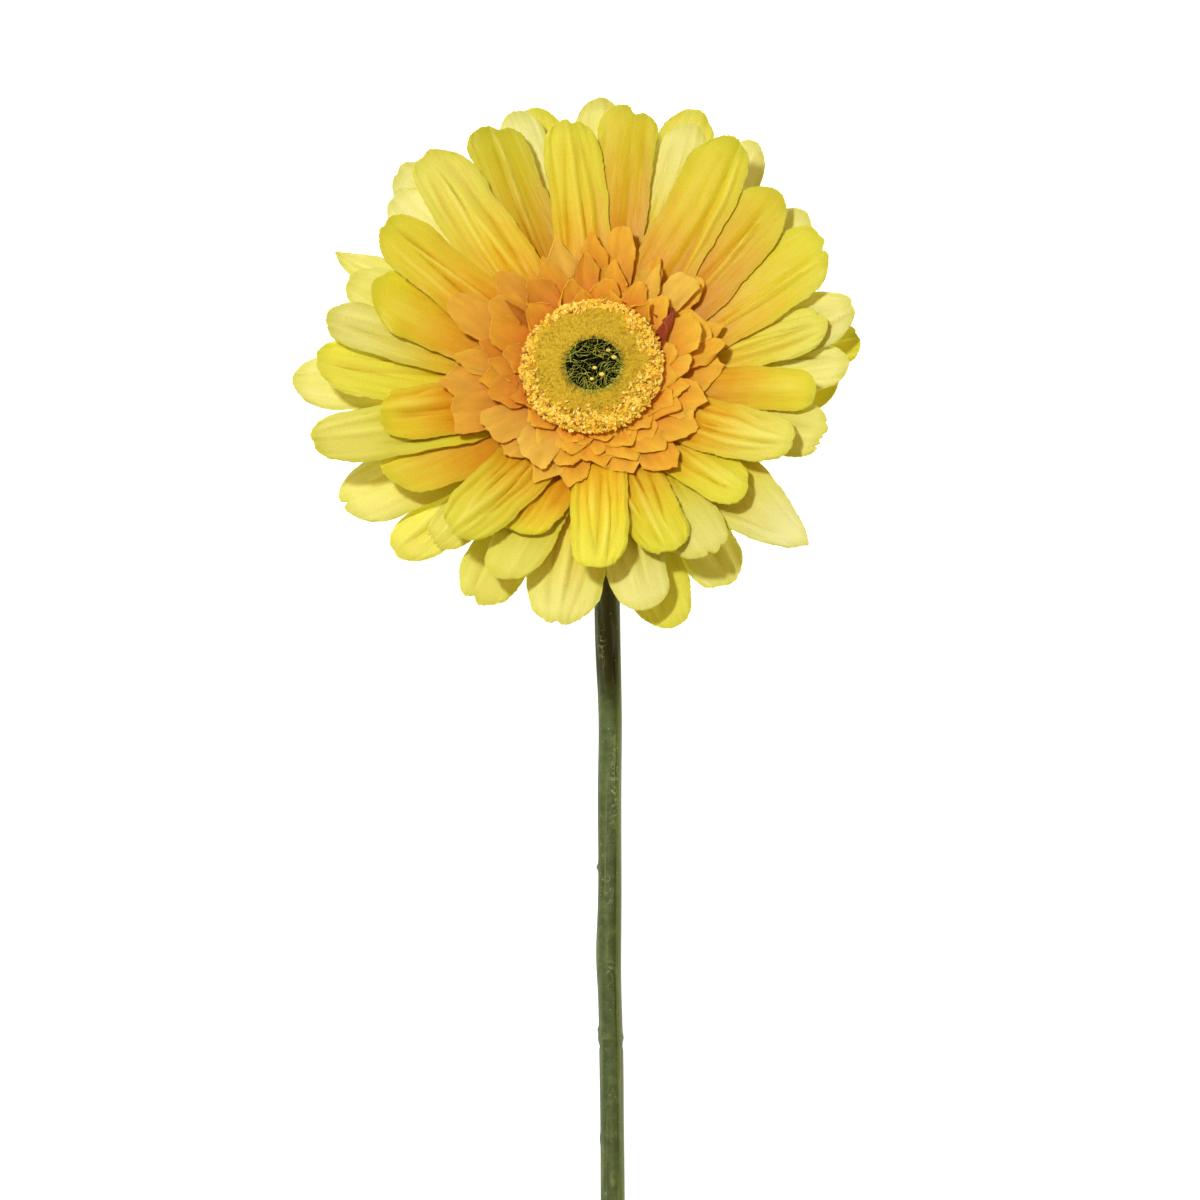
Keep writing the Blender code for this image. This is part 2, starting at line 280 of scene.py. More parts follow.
# %% [markdown]
# ## The petals
#
# Three rings of petals fan out under the florets. A row of the tables is where on the clock a petal
# points, how far its tip reaches seen from above (mm), its width (mm), its level, how blunt its tip is,
# and a style: what the mould and the years in a box did to it, and how much light or shade is painted on it.
#
# - lot: painted light and shade, how much brighter or darker the whole petal is drawn. dye: how far
#   along the orange reaches. pale: how washed out the tip is
# - pull: how far the tip leans clockwise. skew: how much further its clockwise corner reaches. twist: how
#   high the clockwise side lies (all mm)
# - notches: (across, depth, half width). creases: (across, strength, half width), grooves below zero.
#   Both are in hundredths, of half the petal's width, of a mm or of `FULL_PRESS`
# - band: a raised band inside the rim. ribs: the strength of the fine ribs

# %% Petal tables
PETALS = {
    "front": [
        (8, 54.8, 12.5, 1, 0.78, dict(lot=0.94, twist=-1.4, dye=0.68, ribs=0.3, notches=[(22, 130, 20)],
         creases=[(30, -10, 10), (95, -20, 15)])),
        (32, 56.3, 13.5, 0, 0.5, dict(lot=0.97, twist=-1.5, skew=1.2, dye=0.55, creases=[(52, -40, 6), (70, 35, 9),
         (-55, 15, 20), (10, 12, 10)])),
        (47, 53.5, 14.5, 1, 0.45, dict(lot=0.94, twist=-1.6, skew=0.8, dye=0.7, ribs=0.5, creases=[(12, 40, 5),
         (0, -30, 8), (50, 10, 20)])),
        (62, 55.6, 15.5, 2, 0.66, dict(lot=0.99, twist=-1.1, skew=-1, dye=0.51, ribs=0.3, notches=[(10, 130, 15)],
         creases=[(42, 30, 5), (30, -20, 6)])),
        (79, 50.4, 10.5, 3, 0.5, dict(lot=1.03, dye=0.42, pale=0.25, creases=[(-35, -30, 9), (5, -30, 9),
         (40, -28, 9), (-15, 20, 10)])),
        (94, 47.3, 9.5, 1, 0.72, dict(lot=0.95, twist=-0.5, dye=0.64, ribs=0.3, creases=[(0, 20, 30)])),
        (113, 44.7, 12, 0, 0.5, dict(lot=0.98, pull=-2.4, skew=1.4, dye=0.54, pale=0.3, band=0.2,
         creases=[(-45, -30, 6), (-27, 35, 7), (-10, -35, 6), (8, 40, 7), (25, -35, 6), (42, 40, 7), (60, -25, 6)])),
        (130, 41.6, 11, 1, 0.5, dict(lot=0.98, dye=0.48, pale=0.05, creases=[(25, -45, 7), (5, 40, 10),
         (-35, 20, 12)])),
        (158, 42, 12, 1, 0.5, dict(lot=0.94, twist=-0.4, pull=-1.4, band=0.3, dye=0.48, creases=[(10, 45, 7),
         (-10, -35, 7), (30, -35, 7), (-50, -30, 7), (-30, 35, 7), (50, 30, 8)])),
        (178, 42, 12, 0, 0.55, dict(lot=1.06, band=0.35, dye=0.4, pale=0.05, creases=[(-42, -35, 7), (0, -35, 7),
         (40, -35, 7), (-20, 35, 8), (20, 35, 8)])),
        (204, 38, 13.5, 1, 0.65, dict(lot=1.03, pull=0.8, dye=0.78, creases=[(40, -30, 6), (0, -30, 7),
         (-35, -15, 6)])),
        (220, 45.4, 13.5, 0, 0.5, dict(lot=0.94, band=0.25, dye=0.5, pale=0.05, creases=[(-50, -35, 6), (-15, -40, 6),
         (20, -35, 6), (50, -30, 6), (-33, 35, 7), (2, 40, 7), (36, 35, 7)])),
        (241, 48.7, 13, 2, 0.6, dict(dye=0.75, pale=0.05, ribs=0.3, pull=1, creases=[(20, 20, 30)])),
        (257, 45.4, 12, 0, 0.7, dict(skew=-1, dye=0.78, creases=[(12, -40, 7), (30, 30, 10), (-30, -20, 10)])),
        (270, 57.8, 13, 3, 0.45, dict(lot=1.05, pull=1.6, dye=0.28, pale=0.1, band=0.2, creases=[(45, -25, 6),
         (22, -25, 5), (0, -25, 5), (-22, -25, 5), (-45, -20, 6)])),
        (291, 48.5, 15, 1, 0.58, dict(lot=0.98, twist=-0.8, skew=1.4, dye=0.66, ribs=0.3, creases=[(-30, 15, 30)])),
        (304, 52.5, 12, 0, 0.6, dict(dye=0.6, pale=0.05, notches=[(-5, 50, 14)], creases=[(-10, -45, 6), (10, 40, 7),
         (-50, 25, 8), (35, -35, 6)])),
        (322, 56.3, 13.5, 1, 0.5, dict(lot=1.04, twist=0.8, pull=1, skew=-1.8, dye=0.45, pale=0.3, band=0.25,
         creases=[(-55, -40, 7), (-25, 45, 6), (-5, -45, 6), (20, 45, 6), (48, -40, 6)])),
        (337, 54.4, 12.5, 2, 0.76, dict(lot=0.84, twist=-2, dye=0.58, ribs=0.5, notches=[(30, 80, 20)],
         creases=[(5, 40, 5), (-8, -30, 8)])),
        (355, 51.5, 12, 0, 0.66, dict(lot=1.03, twist=-0.6, dye=0.49, pale=0.05, band=0.2, notches=[(15, 80, 16)],
         creases=[(50, -45, 9), (-40, -30, 8), (-10, 30, 10), (18, -30, 7)])),
    ],
    "middle": [
        (22, 55, 11, 2, 0.45, dict(pale=0.7, dye=0.42, creases=[(20, -35, 12)])),
        (54, 55.4, 12, 3, 0.5, dict(lot=0.95, pale=0.6)),
        (88, 54, 10.5, 4.5, 0.45, dict(lot=1.05, pale=0.65)),
        (105, 51.2, 13, 2, 0.6, dict(pale=0.5, notches=[(40, 100, 9), (65, 120, 8), (10, 60, 7), (-50, 70, 10)])),
        (147, 46.6, 13.5, 2, 0.55, dict(lot=0.95, pale=0.52, dye=0.36, notches=[(5, 120, 10), (-50, 80, 10)])),
        (168, 52, 12.5, 3, 0.45, dict(lot=1.04, pull=-0.8, pale=0.75)),
        (188, 54.4, 16, 4, 0.5, dict(lot=1.06, pale=0.65, notches=[(5, 90, 14)], creases=[(-20, -40, 7), (15, 40, 10),
         (40, -30, 8)])),
        (203, 48.3, 12.5, 2, 0.45, dict(pale=0.3, creases=[(-10, 40, 15)])),
        (222, 49.8, 10, 3, 0.4, dict(lot=1.05, pale=0.35, notches=[(20, 80, 6), (50, 90, 7), (-10, 60, 6)])),
        (255, 60.7, 12, 1, 0.5, dict(pale=0.35, dye=0.15, creases=[(15, 45, 12), (-15, -20, 12), (45, -20, 10)])),
        (281, 56.3, 10.5, 2, 0.45, dict(pale=0.6)), (290, 54, 12, 4, 0.5, dict(pale=0.5)),
        (311, 54.8, 12, 3, 0.5, dict(lot=1.05, pale=1)), (344, 55.4, 11, 4, 0.55, dict(dye=0.5, pale=0.9, pull=-1.5)),
    ],
    "back": [
        (2, 56.3, 11, 5, 0.5, {}), (22, 58.2, 12, 6, 0.55, dict(pale=0.2)), (36, 58.4, 11, 5, 0.35, dict(pale=0.8)),
        (77, 56.7, 13, 3.75, 0.5, dict(dye=0.32, pale=0.7)), (83, 56.7, 12, 6, 0.5, dict(pale=0)),
        (95, 51.9, 11, 7, 0.5, dict(dye=0.3, pale=0)),
        (129, 58.8, 17, 3, 0.15, dict(pale=1, pull=0.6, creases=[(42, -80, 16), (62, 35, 10)])),
        (147, 53.8, 13, 6, 0.45, {}), (164, 57, 13.5, 5, 0.4, dict(pale=0.2)),
        (207, 55.2, 13.5, 5, 0.5, dict(pale=0.4, notches=[(10, 100, 15)], creases=[(15, 40, 10)])),
        (226, 57, 12, 6, 0.4, dict(lot=1.06, pale=0.3)),
        (241, 60, 15, 5, 0.5, dict(lot=1.05, notches=[(5, 130, 6)], creases=[(-10, 20, 30)])),
        (268, 62.8, 13, 6, 0.45, {}), (294, 58.6, 10, 5, 0.15, dict(pale=0.5)),
        (316, 58, 11.5, 6, 0.55, dict(pale=0.9)), (348, 55.2, 11, 6, 0.55, dict(pale=0.1)),
    ],
}
print("petals:", {ring: len(petals) for ring, petals in PETALS.items()})

# %% [markdown]
# ## From a flat outline to a pressed petal
#
# The outline is laid on its level's surface and the relief is added: a crown across the width, pressed
# creases, a band inside the rim, and slow waves along the edges. Two petals of neighbouring levels may
# both swell, so the relief is held within half of the room between them. Where a petal comes down to the
# table it lies on it. What no table gives is drawn at random, from a fixed seed for each petal, so that
# every run makes the same flower.

# %% A petal's relief
FULL_PRESS = 3.4


def fine_lines(across, along, random):
    """Faint ribs that the mould leaves between its deeper creases, in mm."""
    lines = np.zeros_like(across)
    for place in random.uniform(-0.85, 0.85, 7):
        start, reach = random.uniform(0.1, 0.6), random.uniform(0.2, 0.45)
        fade = smooth_step(start, start + 0.12, along) * (1 - smooth_step(start + reach, start + reach + 0.12, along))
        path = place * (1 - 0.35 * smooth_step(0.5, 1, along)) + random.uniform(-0.15, 0.15) * along
        lines += random.choice((-0.42, 0.34)) * fold_at(across, path, 0.085) * fade
    return lines


def petal_relief(along, across, creases, band, ribs, twist, random):
    """A petal's pressed height over its level's surface, and the part that folds and ribs make (mm)."""
    waves = random.uniform(0, 2 * math.pi, 4)
    body = smooth_step(0.1, 0.4, along)
    height = 0.75 * body * (0.35 - across ** 2)
    height -= 0.5 * body * smooth_step(0.8, 1, along) * across ** 2
    folds = np.zeros_like(along)
    for place, amount, width in creases:
        wander = place * (1 - 0.4 * smooth_step(0.5, 1, along)) + 0.09 * np.sin(along * 4.5 + waves[0] + 9 * place)
        start = random.uniform(0.1, 0.35)
        fade = smooth_step(start, start + 0.15, along) * (1 - 0.8 * smooth_step(0.8, 0.97, along))
        swell = 0.75 + 0.35 * np.sin(along * 9 + 20 * place)
        shape = bump_at if amount > 0 else fold_at
        folds += FULL_PRESS * amount * shape(across, wander, width * (0.8 + 0.5 * along)) * fade * swell
    folds += ribs * fine_lines(across, along, random)
    rim = np.abs(across)
    height += band * (1.6 * bump_at(rim, 0.86, 0.09) - 1.2 * bump_at(rim, 0.68, 0.09)) * body
    height += body * across * (twist + 0.4 * np.sin(6 * along + waves[1]))
    height += 0.45 * body * rim ** 3 * np.sin(12 * along + waves[2] + across * 2)
    height += 0.2 * body * rim ** 5 * np.sin(31 * along + waves[0] - across * 3)
    height += 0.05 * np.sin(along * 31 + waves[3]) * np.sin(across * 7 + waves[1])
    return height + folds, folds


# %% Build a petal
PETAL_THICKNESS = 0.34
PETAL_GRID = (48, 50)
ROOT_WIDTH = 6.4
TOP_REACH = 1.3
RESTING_STEP, LOWEST_RESTING_LEVEL = 0.9, 6
# Per ring: the seed, the usual dye, the usual paleness, and the colour of the underside.
RINGS = {"front": (100, 0.55, 0, "#DDC048"), "middle": (200, 0.36, 0.55, "#E0CC50"),
         "back": (300, 0.22, 0.6, "#E2D460")}


def build_petal(ring, number, clock, reach, width, level, blunt, style, material):
    seed, usual_dye, usual_pale, _ = RINGS[ring]
    random = np.random.default_rng(seed + number)
    along, across = strip_grid(*PETAL_GRID)
    tip = tip_place(clock, reach + TOP_REACH * max(0, math.cos(math.radians(clock + 20))), level)
    length = np.linalg.norm(tip) - PETAL_BASE
    tip_length = width / 2 * (2.75 - 2.6 * blunt)
    end = (tip_length * 1.5, 0.85, 0.37, 0.3) if blunt < 0.3 else (tip_length, 0.5, 0.37, 0.74)
    sideways, forwards = strip_outline(along, across, length, width, ROOT_WIDTH, *end)
    for place, depth, half_width in np.array(style.get("notches", [])) / 100:
        forwards -= depth * bump_at(across, place, half_width) * along ** 14
    forwards += style.get("skew", random.normal(0, 0.5)) * across * along ** 8
    forwards -= random.uniform(0.1, 0.7) * bump_at(across, random.uniform(-0.8, 0.8), 0.25) * along ** 14
    sideways += style.get("pull", random.normal(0, 0.5)) * along ** 3
    sideways += random.normal(0, 0.35) * np.sin(math.pi * along) * (1 - along)
    wobble = random.uniform(0, 2 * math.pi, 2)
    sideways *= 1 + 0.026 * np.sin(14 * along + wobble[0] + across) + 0.016 * np.sin(29 * along + wobble[1] - across)
    fray = random.normal(0, 1, along.shape)
    sideways += 0.1 * fray * across * (np.abs(across) > 0.999)
    forwards += 0.08 * fray * (along > 0.999)

    place = laid_out(unit(tip), PETAL_BASE, sideways, forwards)
    creases = [(random.uniform(-0.5, 0), -0.25, 0.09), (random.uniform(0, 0.5), 0.25, 0.1)]
    if "creases" in style:
        creases = np.array(style["creases"]) / 100
    relief, folds = petal_relief(along, across, creases, style.get("band", 0.08), style.get("ribs", 1),
                                 style.get("twist", 0), random)
    out = out_share(place)
    room = LEVEL_STEP + RISE_STEP * out + CUP_STEP * out ** 2
    limit = (room - PETAL_THICKNESS) / 2 * 0.92
    relief = limit * np.tanh(relief / limit)
    points = to_world(np.dstack([place, surface_height(level, place) + relief]))
    rest = PETAL_THICKNESS / 2 + RESTING_STEP * max(0, LOWEST_RESTING_LEVEL - level)
    points[..., 2] = np.maximum(points[..., 2], rest + 0.12 + np.clip(relief, -0.12, 0.3))

    same = np.ones_like(along)
    dye = style.get("dye", usual_dye + random.normal(0, 0.04))
    # The last field is painted light and shade: one brightness factor for the whole petal.
    fields = {"strip": np.dstack([along, across, same]),
              "tone": np.dstack([same * dye, same * style.get("pale", usual_pale), folds]),
              "lot": np.dstack([same, same, same]) * style.get("lot", 1)}
    name = f"{ring}_petal_{number:02d}"
    mesh = cloth_mesh(f"{name}_cloth", [(points, np.dstack([sideways, forwards]), fields)], PETAL_THICKNESS)
    place_piece(mesh, material, name)


# %% [markdown]
# ## Petal cloth: woven polyester satin, dyed and heat-pressed
#
# The cloth is plain-woven polyester, stiffened with size. Dye is airbrushed from the root outwards, so
# the colour runs from orange through golden yellow to a pale lemon tip. Shade is painted darker into the
# pressed grooves, highlights are painted paler onto the crests, and an olive painted shade runs along the
# rim and the tip. The weave makes the surface rough, with a little sheen where light grazes it. Threads
# are 0.28 mm apart on the real cloth and 0.55 mm here, because the finer weave would be lost.

# %% Petal cloth material
THREAD = 0.55
WAVE_RADIANS = 20  # how far a wave texture of scale 1 turns in 1 mm
DYE_STOPS = [(0.05, "#DC9018"), (0.3, "#E2AA20"), (0.5, "#E5C42E"), (0.7, "#E3D634"), (0.92, "#E1DE40")]


def cloth_material(name, **constants):
    """A matt cloth, with the along, across and face of its strip, its tone field and its flat place."""
    material, shader, node = new_material(name, IOR=1.5, Sheen_Roughness=0.4, Subsurface_Weight=0.5, **constants)
    fields = [value for field in ("strip", "tone") for value in node(
        "SeparateXYZ", [node("Attribute", attribute_name=field).outputs["Vector"]]).outputs]
    return material, shader, node, *fields, node("UVMap", uv_map="cloth_mm")


def petal_cloth(name, under):
    material, shader, node, along, across, face, dye, washed, fold, cloth = cloth_material(
        name, Roughness=0.47, Sheen_Weight=0.02, Sheen_Tint="#FFF6B0", Specular_IOR_Level=0.28,
        Subsurface_Radius=(1.0, 0.7, 0.15), Subsurface_Scale=0.3 * MM)

    # The dye's front edge is streaky along the petal, as it wicks along the threads.
    stretched = node("Mapping", dict(Vector=cloth, Scale=(0.9, 0.09, 1)))
    streaks = node("TexNoise", [stretched, 1.3, 4])
    patches = node("TexNoise", [cloth, 0.25, 2])
    from_dye = node("Math", [along, dye], operation="SUBTRACT")
    streaked = node("Math", [streaks, 0.34, from_dye], operation="MULTIPLY_ADD")
    blotched = node("Math", [patches, 0.2, streaked], operation="MULTIPLY_ADD")
    centred = node("Math", [blotched, 0.23], operation="ADD")
    # The tip is washed out.
    tipward = node("MapRange", [along, 0.4, 0.9], interpolation_type="SMOOTHSTEP")
    tip = node("Math", [tipward, washed], operation="MULTIPLY")
    # Painted shade: near the rim and the tip the colour turns olive green, broken up by noise.
    rim = node("MapRange", [node("Math", [across], operation="ABSOLUTE"), 0.72, 1])
    either = node("Math", [rim, node("MapRange", [along, 0.93, 1])], operation="MAXIMUM")
    outer = node("Math", [either, along], operation="MULTIPLY")
    edge = node("Math", [outer, streaks], operation="MULTIPLY")
    # Painted shade darkens the grooves, less on pale petals, and painted highlights lighten the crests.
    groove = node("MapRange", [fold, -0.12, -0.9, 0, 0.4])
    painted_groove_shade = node("Math", [groove, node("MapRange", [washed, 0, 1, 1, 0.15])], operation="MULTIPLY")
    crest = node("Math", [node("MapRange", [fold, 0.05, 0.8]), along], operation="MULTIPLY")
    colour = node("ValToRGB", [centred], DYE_STOPS)
    # Over the dye go the washed tip, painted rim shade, painted groove shade and painted crest highlights.
    for share, over, blend in ((tip, "#E6E8A6", "MIX"), (edge, "#C2C632", "MIX"), (painted_groove_shade, "#D6A838", "MULTIPLY"),
                               (crest, "#A49E50", "SCREEN")):
        colour = node("Mix", [share, colour, over], data_type="RGBA", blend_type=blend)
    # The underside took less dye, and painted light and shade make each petal a little brighter or darker.
    sides = node("Mix", [node("MapRange", [face, 0, 1, 0.5]), under, colour], data_type="RGBA")
    lot = node("Attribute", attribute_name="lot").outputs["Vector"]
    with_painted_light = node("VectorMath", [sides, lot], operation="MULTIPLY")
    # Woven threads: two crossed waves, with lighter crowns and darker gaps.
    waves = [node("TexWave", [cloth, 2 * math.pi / WAVE_RADIANS / THREAD, 1.2, 1], bands_direction=way).outputs["Fac"]
             for way in "XY"]
    weave = node("Math", waves, operation="MULTIPLY")
    grain = node("Math", [weave, 0.14, node("TexNoise", [cloth, 2.2, 2])], operation="MULTIPLY_ADD")
    light = node("MapRange", [grain, 0.3, 0.85, 0.95, 1.05])
    threaded = node("VectorMath", [with_painted_light, light], operation="SCALE")
    ribbed = node("Math", [grain, 0.15, streaks], operation="MULTIPLY_ADD")
    bump = node("Bump", dict(Height=ribbed, Strength=0.7, Distance=0.22 * MM))
    fill(shader, {"Base Color": threaded, "Normal": bump})
    return material


# %% Make the three rings
for ring, petals in PETALS.items():
    satin = petal_cloth(f"dyed_satin_{ring}", RINGS[ring][-1])
    for number, petal in enumerate(petals, start=1):
        build_petal(ring, number, *petal, satin)

# %% [markdown]
# ## The floret rows
#
# Four rosettes of short orange florets crowd round the disc. Each is one die-cut star on the real
# flower, crushed by hand so that its points go every way. Every floret is built as its own strip, and
# the strips of a row are joined into one piece, because the row is one piece of cloth. A row of a table
# is (clock, reach mm, width mm, end), where the end is 0 pointed, 1 round, 2 square or 3 slanting.

# %% Floret tables
FLORET_ROWS = [
    [(346, 30.6, 5.6, 0), (0, 31, 5.2, 0), (13, 32.6, 5.6, 1), (29, 29.4, 4.6, 0), (47, 31.5, 6, 1),
     (70, 30, 4.6, 0), (91, 28.2, 7, 3), (123, 26.8, 7.4, 3), (143, 29.8, 7, 3), (165, 25.5, 7.5, 3),
     (192, 27.2, 6.8, 3), (205, 29.2, 7, 0), (222, 26.6, 7, 1), (248, 31.8, 7.4, 2), (262, 33, 6.6, 0),
     (276, 30, 6, 0), (296, 34, 7.4, 1), (316, 29.5, 6.4, 1)],
    [(336, 27.4, 6, 0), (354, 26.6, 5, 0), (11, 25.4, 6, 0), (32, 27.6, 5, 0), (45, 29.2, 5.6, 2),
     (64, 26.4, 8.2, 2), (80, 28.6, 5.8, 1), (109, 26, 7.6, 3), (126, 27, 7.6, 3), (142, 25.2, 6.8, 3),
     (158, 23.2, 6.8, 3), (175, 22.6, 6.6, 3), (193, 23.4, 6.2, 1), (215, 24.6, 8, 2), (237, 26.8, 7.4, 2),
     (262, 24.8, 6.8, 0), (281, 25.2, 6.6, 0), (305, 26.8, 6.8, 1)],
    [(346, 21.5, 6.4, 0), (8, 21.2, 5.6, 1), (27, 22.2, 5.4, 1), (47, 22.5, 5, 1), (69, 24.6, 7.2, 2),
     (87, 22, 5.8, 1), (103, 21.8, 5.8, 3), (122, 21.6, 6.2, 3), (142, 21.6, 6.4, 3), (158, 20.2, 6, 3),
     (177, 20, 5.6, 0), (192, 20.4, 5.4, 1), (212, 21.2, 6, 1), (254, 23.6, 6.6, 0), (275, 22.6, 6, 0),
     (295, 24.2, 7.4, 1), (311, 24.2, 2.4, 0), (326, 24, 6.4, 1)],
    [(352, 18.6, 5.2, 0), (12, 18.8, 5, 0), (40, 19.4, 4.6, 0), (68, 21.6, 2.8, 1), (78, 18.8, 5.6, 1),
     (99, 19, 5.4, 3), (119, 19.9, 6.4, 3), (139, 18.4, 5.6, 1), (154, 17.5, 5.2, 3), (171, 17, 5.2, 3),
     (184, 17.4, 4.8, 1), (198, 17.9, 5.2, 1), (222, 18.6, 5.6, 1), (248, 19.2, 5.6, 0), (280, 19.6, 5.8, 1),
     (316, 20, 6, 1)],
]
# Each end's outline: how far the rim drops back from the tip (mm) at five places across.
END_KNOTS = [(-1, -0.45, 0, 0.45, 1), (-1, -0.5, 0, 0.5, 1), (-1, -0.8, 0, 0.8, 1), (-1, -0.6, -0.3, 0.35, 1)]
END_DROPS = [(4.4, 2, 0, 2, 4.4), (2.6, 0.5, 0, 0.9, 3.4), (0.6, 0.1, 0, 0.2, 0.8), (2.5, 1.3, 0, 1.8, 3.6)]
# By (row, clock): how pale a floret is, how high its tip stands (mm), how much dark red painted shade it
# carries in a crevice, and how far its tip is pulled clockwise (mm).
PALE = {(1, 346): 0.65, (2, 45): 0.6, (1, 205): 0.3, (2, 215): 0.6, (2, 237): 0.45, (1, 262): 0.35,
        (2, 32): 0.45, (1, 276): 0.25, (1, 222): 0.4, (3, 212): 0.35, (1, 13): 0.15, (1, 296): 0.35,
        (1, 316): 0.3, (2, 305): 0.2, (1, 248): 0.25}
STANDING = {(1, 47): -1.2, (4, 40): 2.4, (4, 68): -0.2, (3, 69): 0.6, (3, 311): 1, (2, 45): 0.3, (3, 47): 0.8,
            (2, 32): 0.8, (1, 346): 1.2, (4, 12): 0.5, (4, 352): 0.5, (3, 346): 1}
# Painted shade: the narrow dark red floret at (4, 68) stands where only a shaded slit lies between florets.
PAINTED_CREVICE_SHADE = {(4, 68): 1, (3, 311): 0.35, (4, 40): 0.1}
PULLS = {(4, 68): -5.2}
print("florets in each row:", [len(florets) for florets in FLORET_ROWS])

# %% Build the florets
FLORET_THICKNESS = 0.22
FLORET_GRID = (16, 14)
FLORET_ROOT, FLORET_ROOT_WIDTH = 12.3, 4.6


def build_floret(row, index, clock, reach, width, end, random):
    """One floret as a strip for cloth_mesh."""
    along, across = strip_grid(*FLORET_GRID)
    length = reach - FLORET_ROOT
    sideways, forwards = strip_outline(along, across, length, width * 1.16, FLORET_ROOT_WIDTH, 0.9, 0.5, 0.55, 0.95)
    knots = np.array(END_KNOTS[end]) + (0, *random.uniform(-0.12, 0.12, 3), 0)
    drops = np.array(END_DROPS[end]) * random.uniform(0.7, 1.3, 5) + random.uniform(0, 0.4, 5)
    if end != 3 and random.random() < 0.5:
        knots, drops = -knots[::-1], drops[::-1]
    forwards -= np.interp(across, knots, drops) * min(1, length / 8) * along ** 2.5
    forwards -= np.interp(across, np.linspace(-1, 1, 8), random.uniform(0, 0.75, 8)) * along ** 4
    forwards += random.uniform(-0.2, 0.2) * (1.5 if end == 2 else 1) * sideways * along ** 3
    fray = random.normal(0, 1, along.shape)
    forwards += 0.12 * fray * (along > 0.999)
    sideways += 0.07 * fray * (np.abs(across) > 0.999)
    sideways += (PULLS.get((row, clock), 0) + random.normal(0, 0.5)) * along ** 2
    place = laid_out(clock_direction(clock), FLORET_ROOT, sideways, forwards)
    flat_side = 0.5 - 0.5 * math.cos(math.radians(clock + 30))
    height = surface_height(-row, place) - 0.95 * flat_side * along ** 3
    height += STANDING.get((row, clock), random.uniform(-0.1, 0.4)) * along ** 2
    height += 0.12 * length * (1 - flat_side) * along ** 1.5
    if row < 3:
        height -= 2.6 * bump_at(clock, 66, 30) * along ** 2
    fold = random.choice((-1, 1)) * random.uniform(0.2, 0.5)
    height += fold * (1 - np.abs(across) ** 1.1) * smooth_step(0.1, 0.6, along) * (1 - 0.5 * flat_side)
    height += (0.1 + 0.7 * bump_at(clock, 25, 22) + random.uniform(-0.5, 0.5)) * across * along
    for crease in random.uniform(-0.8, 0.8, 3):
        lift = random.uniform(0.3, 0.7) * random.choice((-1, 1))
        height += lift * fold_at(across, crease + 0.25 * along, 0.18) * along
    height += 0.16 * np.sin(9 * along + 4 * across + random.uniform(0, 6)) * along
    height += (0.16 if index % 2 else -0.16) * smooth_step(0, 0.5, along)
    # Tone, partly random and partly painted light: florets on the right and lower right are drawn lighter, and those
    # near clock 248 darker, as the lamp would light them.
    tone_and_painted_light = random.uniform(0, 0.6) + 0.4 * flat_side
    tone_and_painted_light += 0.45 * bump_at(clock, 65, 55) - 0.35 * bump_at(clock, 248, 22)
    pale = PALE.get((row, clock), random.uniform(0, 0.12))
    same = np.ones_like(along)
    fields = {"strip": np.dstack([along, across, same]),
              "tone": np.dstack([same * np.clip(tone_and_painted_light, 0, 1), same * pale, same * PAINTED_CREVICE_SHADE.get((row, clock), 0)])}
    return to_world(np.dstack([place, height])), np.dstack([sideways, forwards]), fields


# %% [markdown]
# ## Floret cloth
#
# The florets are the same polyester, dip-dyed orange. Each took the dye a little differently: some are
# almost cream. The root of every floret is darker and redder, partly from deeper dye round the core and
# partly as painted shade where the row above lies over it. Pale cut edges are painted highlights, and
# dark red crevices are painted shade.

# %% Floret cloth material
def floret_cloth():
    material, shader, node, along, across, _, tone_and_painted_light, paleness, crevice_shade, cloth = cloth_material(
        "dip_dyed_satin_floret", Roughness=0.66, Sheen_Weight=0.08, Sheen_Tint="#FFE0A0", Specular_IOR_Level=0.25,
        Subsurface_Radius=(1.0, 0.65, 0.25), Subsurface_Scale=0.35 * MM)
    # Painted highlight: the cut edge is drawn paler in patches, as a lit edge looks.
    side_edge = node("MapRange", [node("Math", [across], operation="ABSOLUTE"), 0.9, 1])
    edge = node("Math", [side_edge, node("MapRange", [along, 0.94, 1])], operation="MAXIMUM")
    highlight_patches = node("MapRange", [node("TexNoise", [cloth, 0.5, 2]), 0.45, 0.6, 0, 0.14])
    edge_highlight = node("Math", [edge, highlight_patches], operation="MULTIPLY")
    # Painted shade and dye: the root is drawn darker and redder, where the row above shades it.
    root = node("MapRange", [along, 0.3, 0.92, 0.6, 0])
    # The colour follows the floret's tone, which carries painted light.
    colour = node("ValToRGB", [tone_and_painted_light], [(0, "#DC962C"), (0.3, "#E8AC30"), (0.6, "#EEB634"), (1, "#EFC03A")])
    # Over the tone go painted root shade, painted crevice shade, paleness and painted edge highlights.
    for share, over in ((root, "#DA5E16"), (crevice_shade, "#8E0600"), (paleness, "#EFD062"), (edge_highlight, "#F6DC78")):
        colour = node("Mix", [share, colour, over], data_type="RGBA")
    stretched = node("Mapping", dict(Vector=cloth, Scale=(1, 0.3, 1)))
    mottle, speckle = node("TexNoise", [stretched, 0.5, 4]), node("TexNoise", [cloth, 2.4, 2])
    grain = node("Math", [speckle, 0.3, mottle], operation="MULTIPLY_ADD")
    light = node("MapRange", [grain, 0.4, 0.9, 0.84, 1.1])
    fill(shader, {"Base Color": node("VectorMath", [colour, light], operation="SCALE"),
                  "Normal": node("Bump", dict(Height=grain, Strength=0.5, Distance=0.08 * MM))})
    return material


satin = floret_cloth()
for row, florets in enumerate(FLORET_ROWS, start=1):
    random = np.random.default_rng(400 + row)
    strips = [build_floret(row, index, *floret, random) for index, floret in enumerate(florets)]
    mesh = cloth_mesh(f"floret_row_{row}_cloth", strips, FLORET_THICKNESS)
    place_piece(mesh, satin, f"floret_row_{row}")

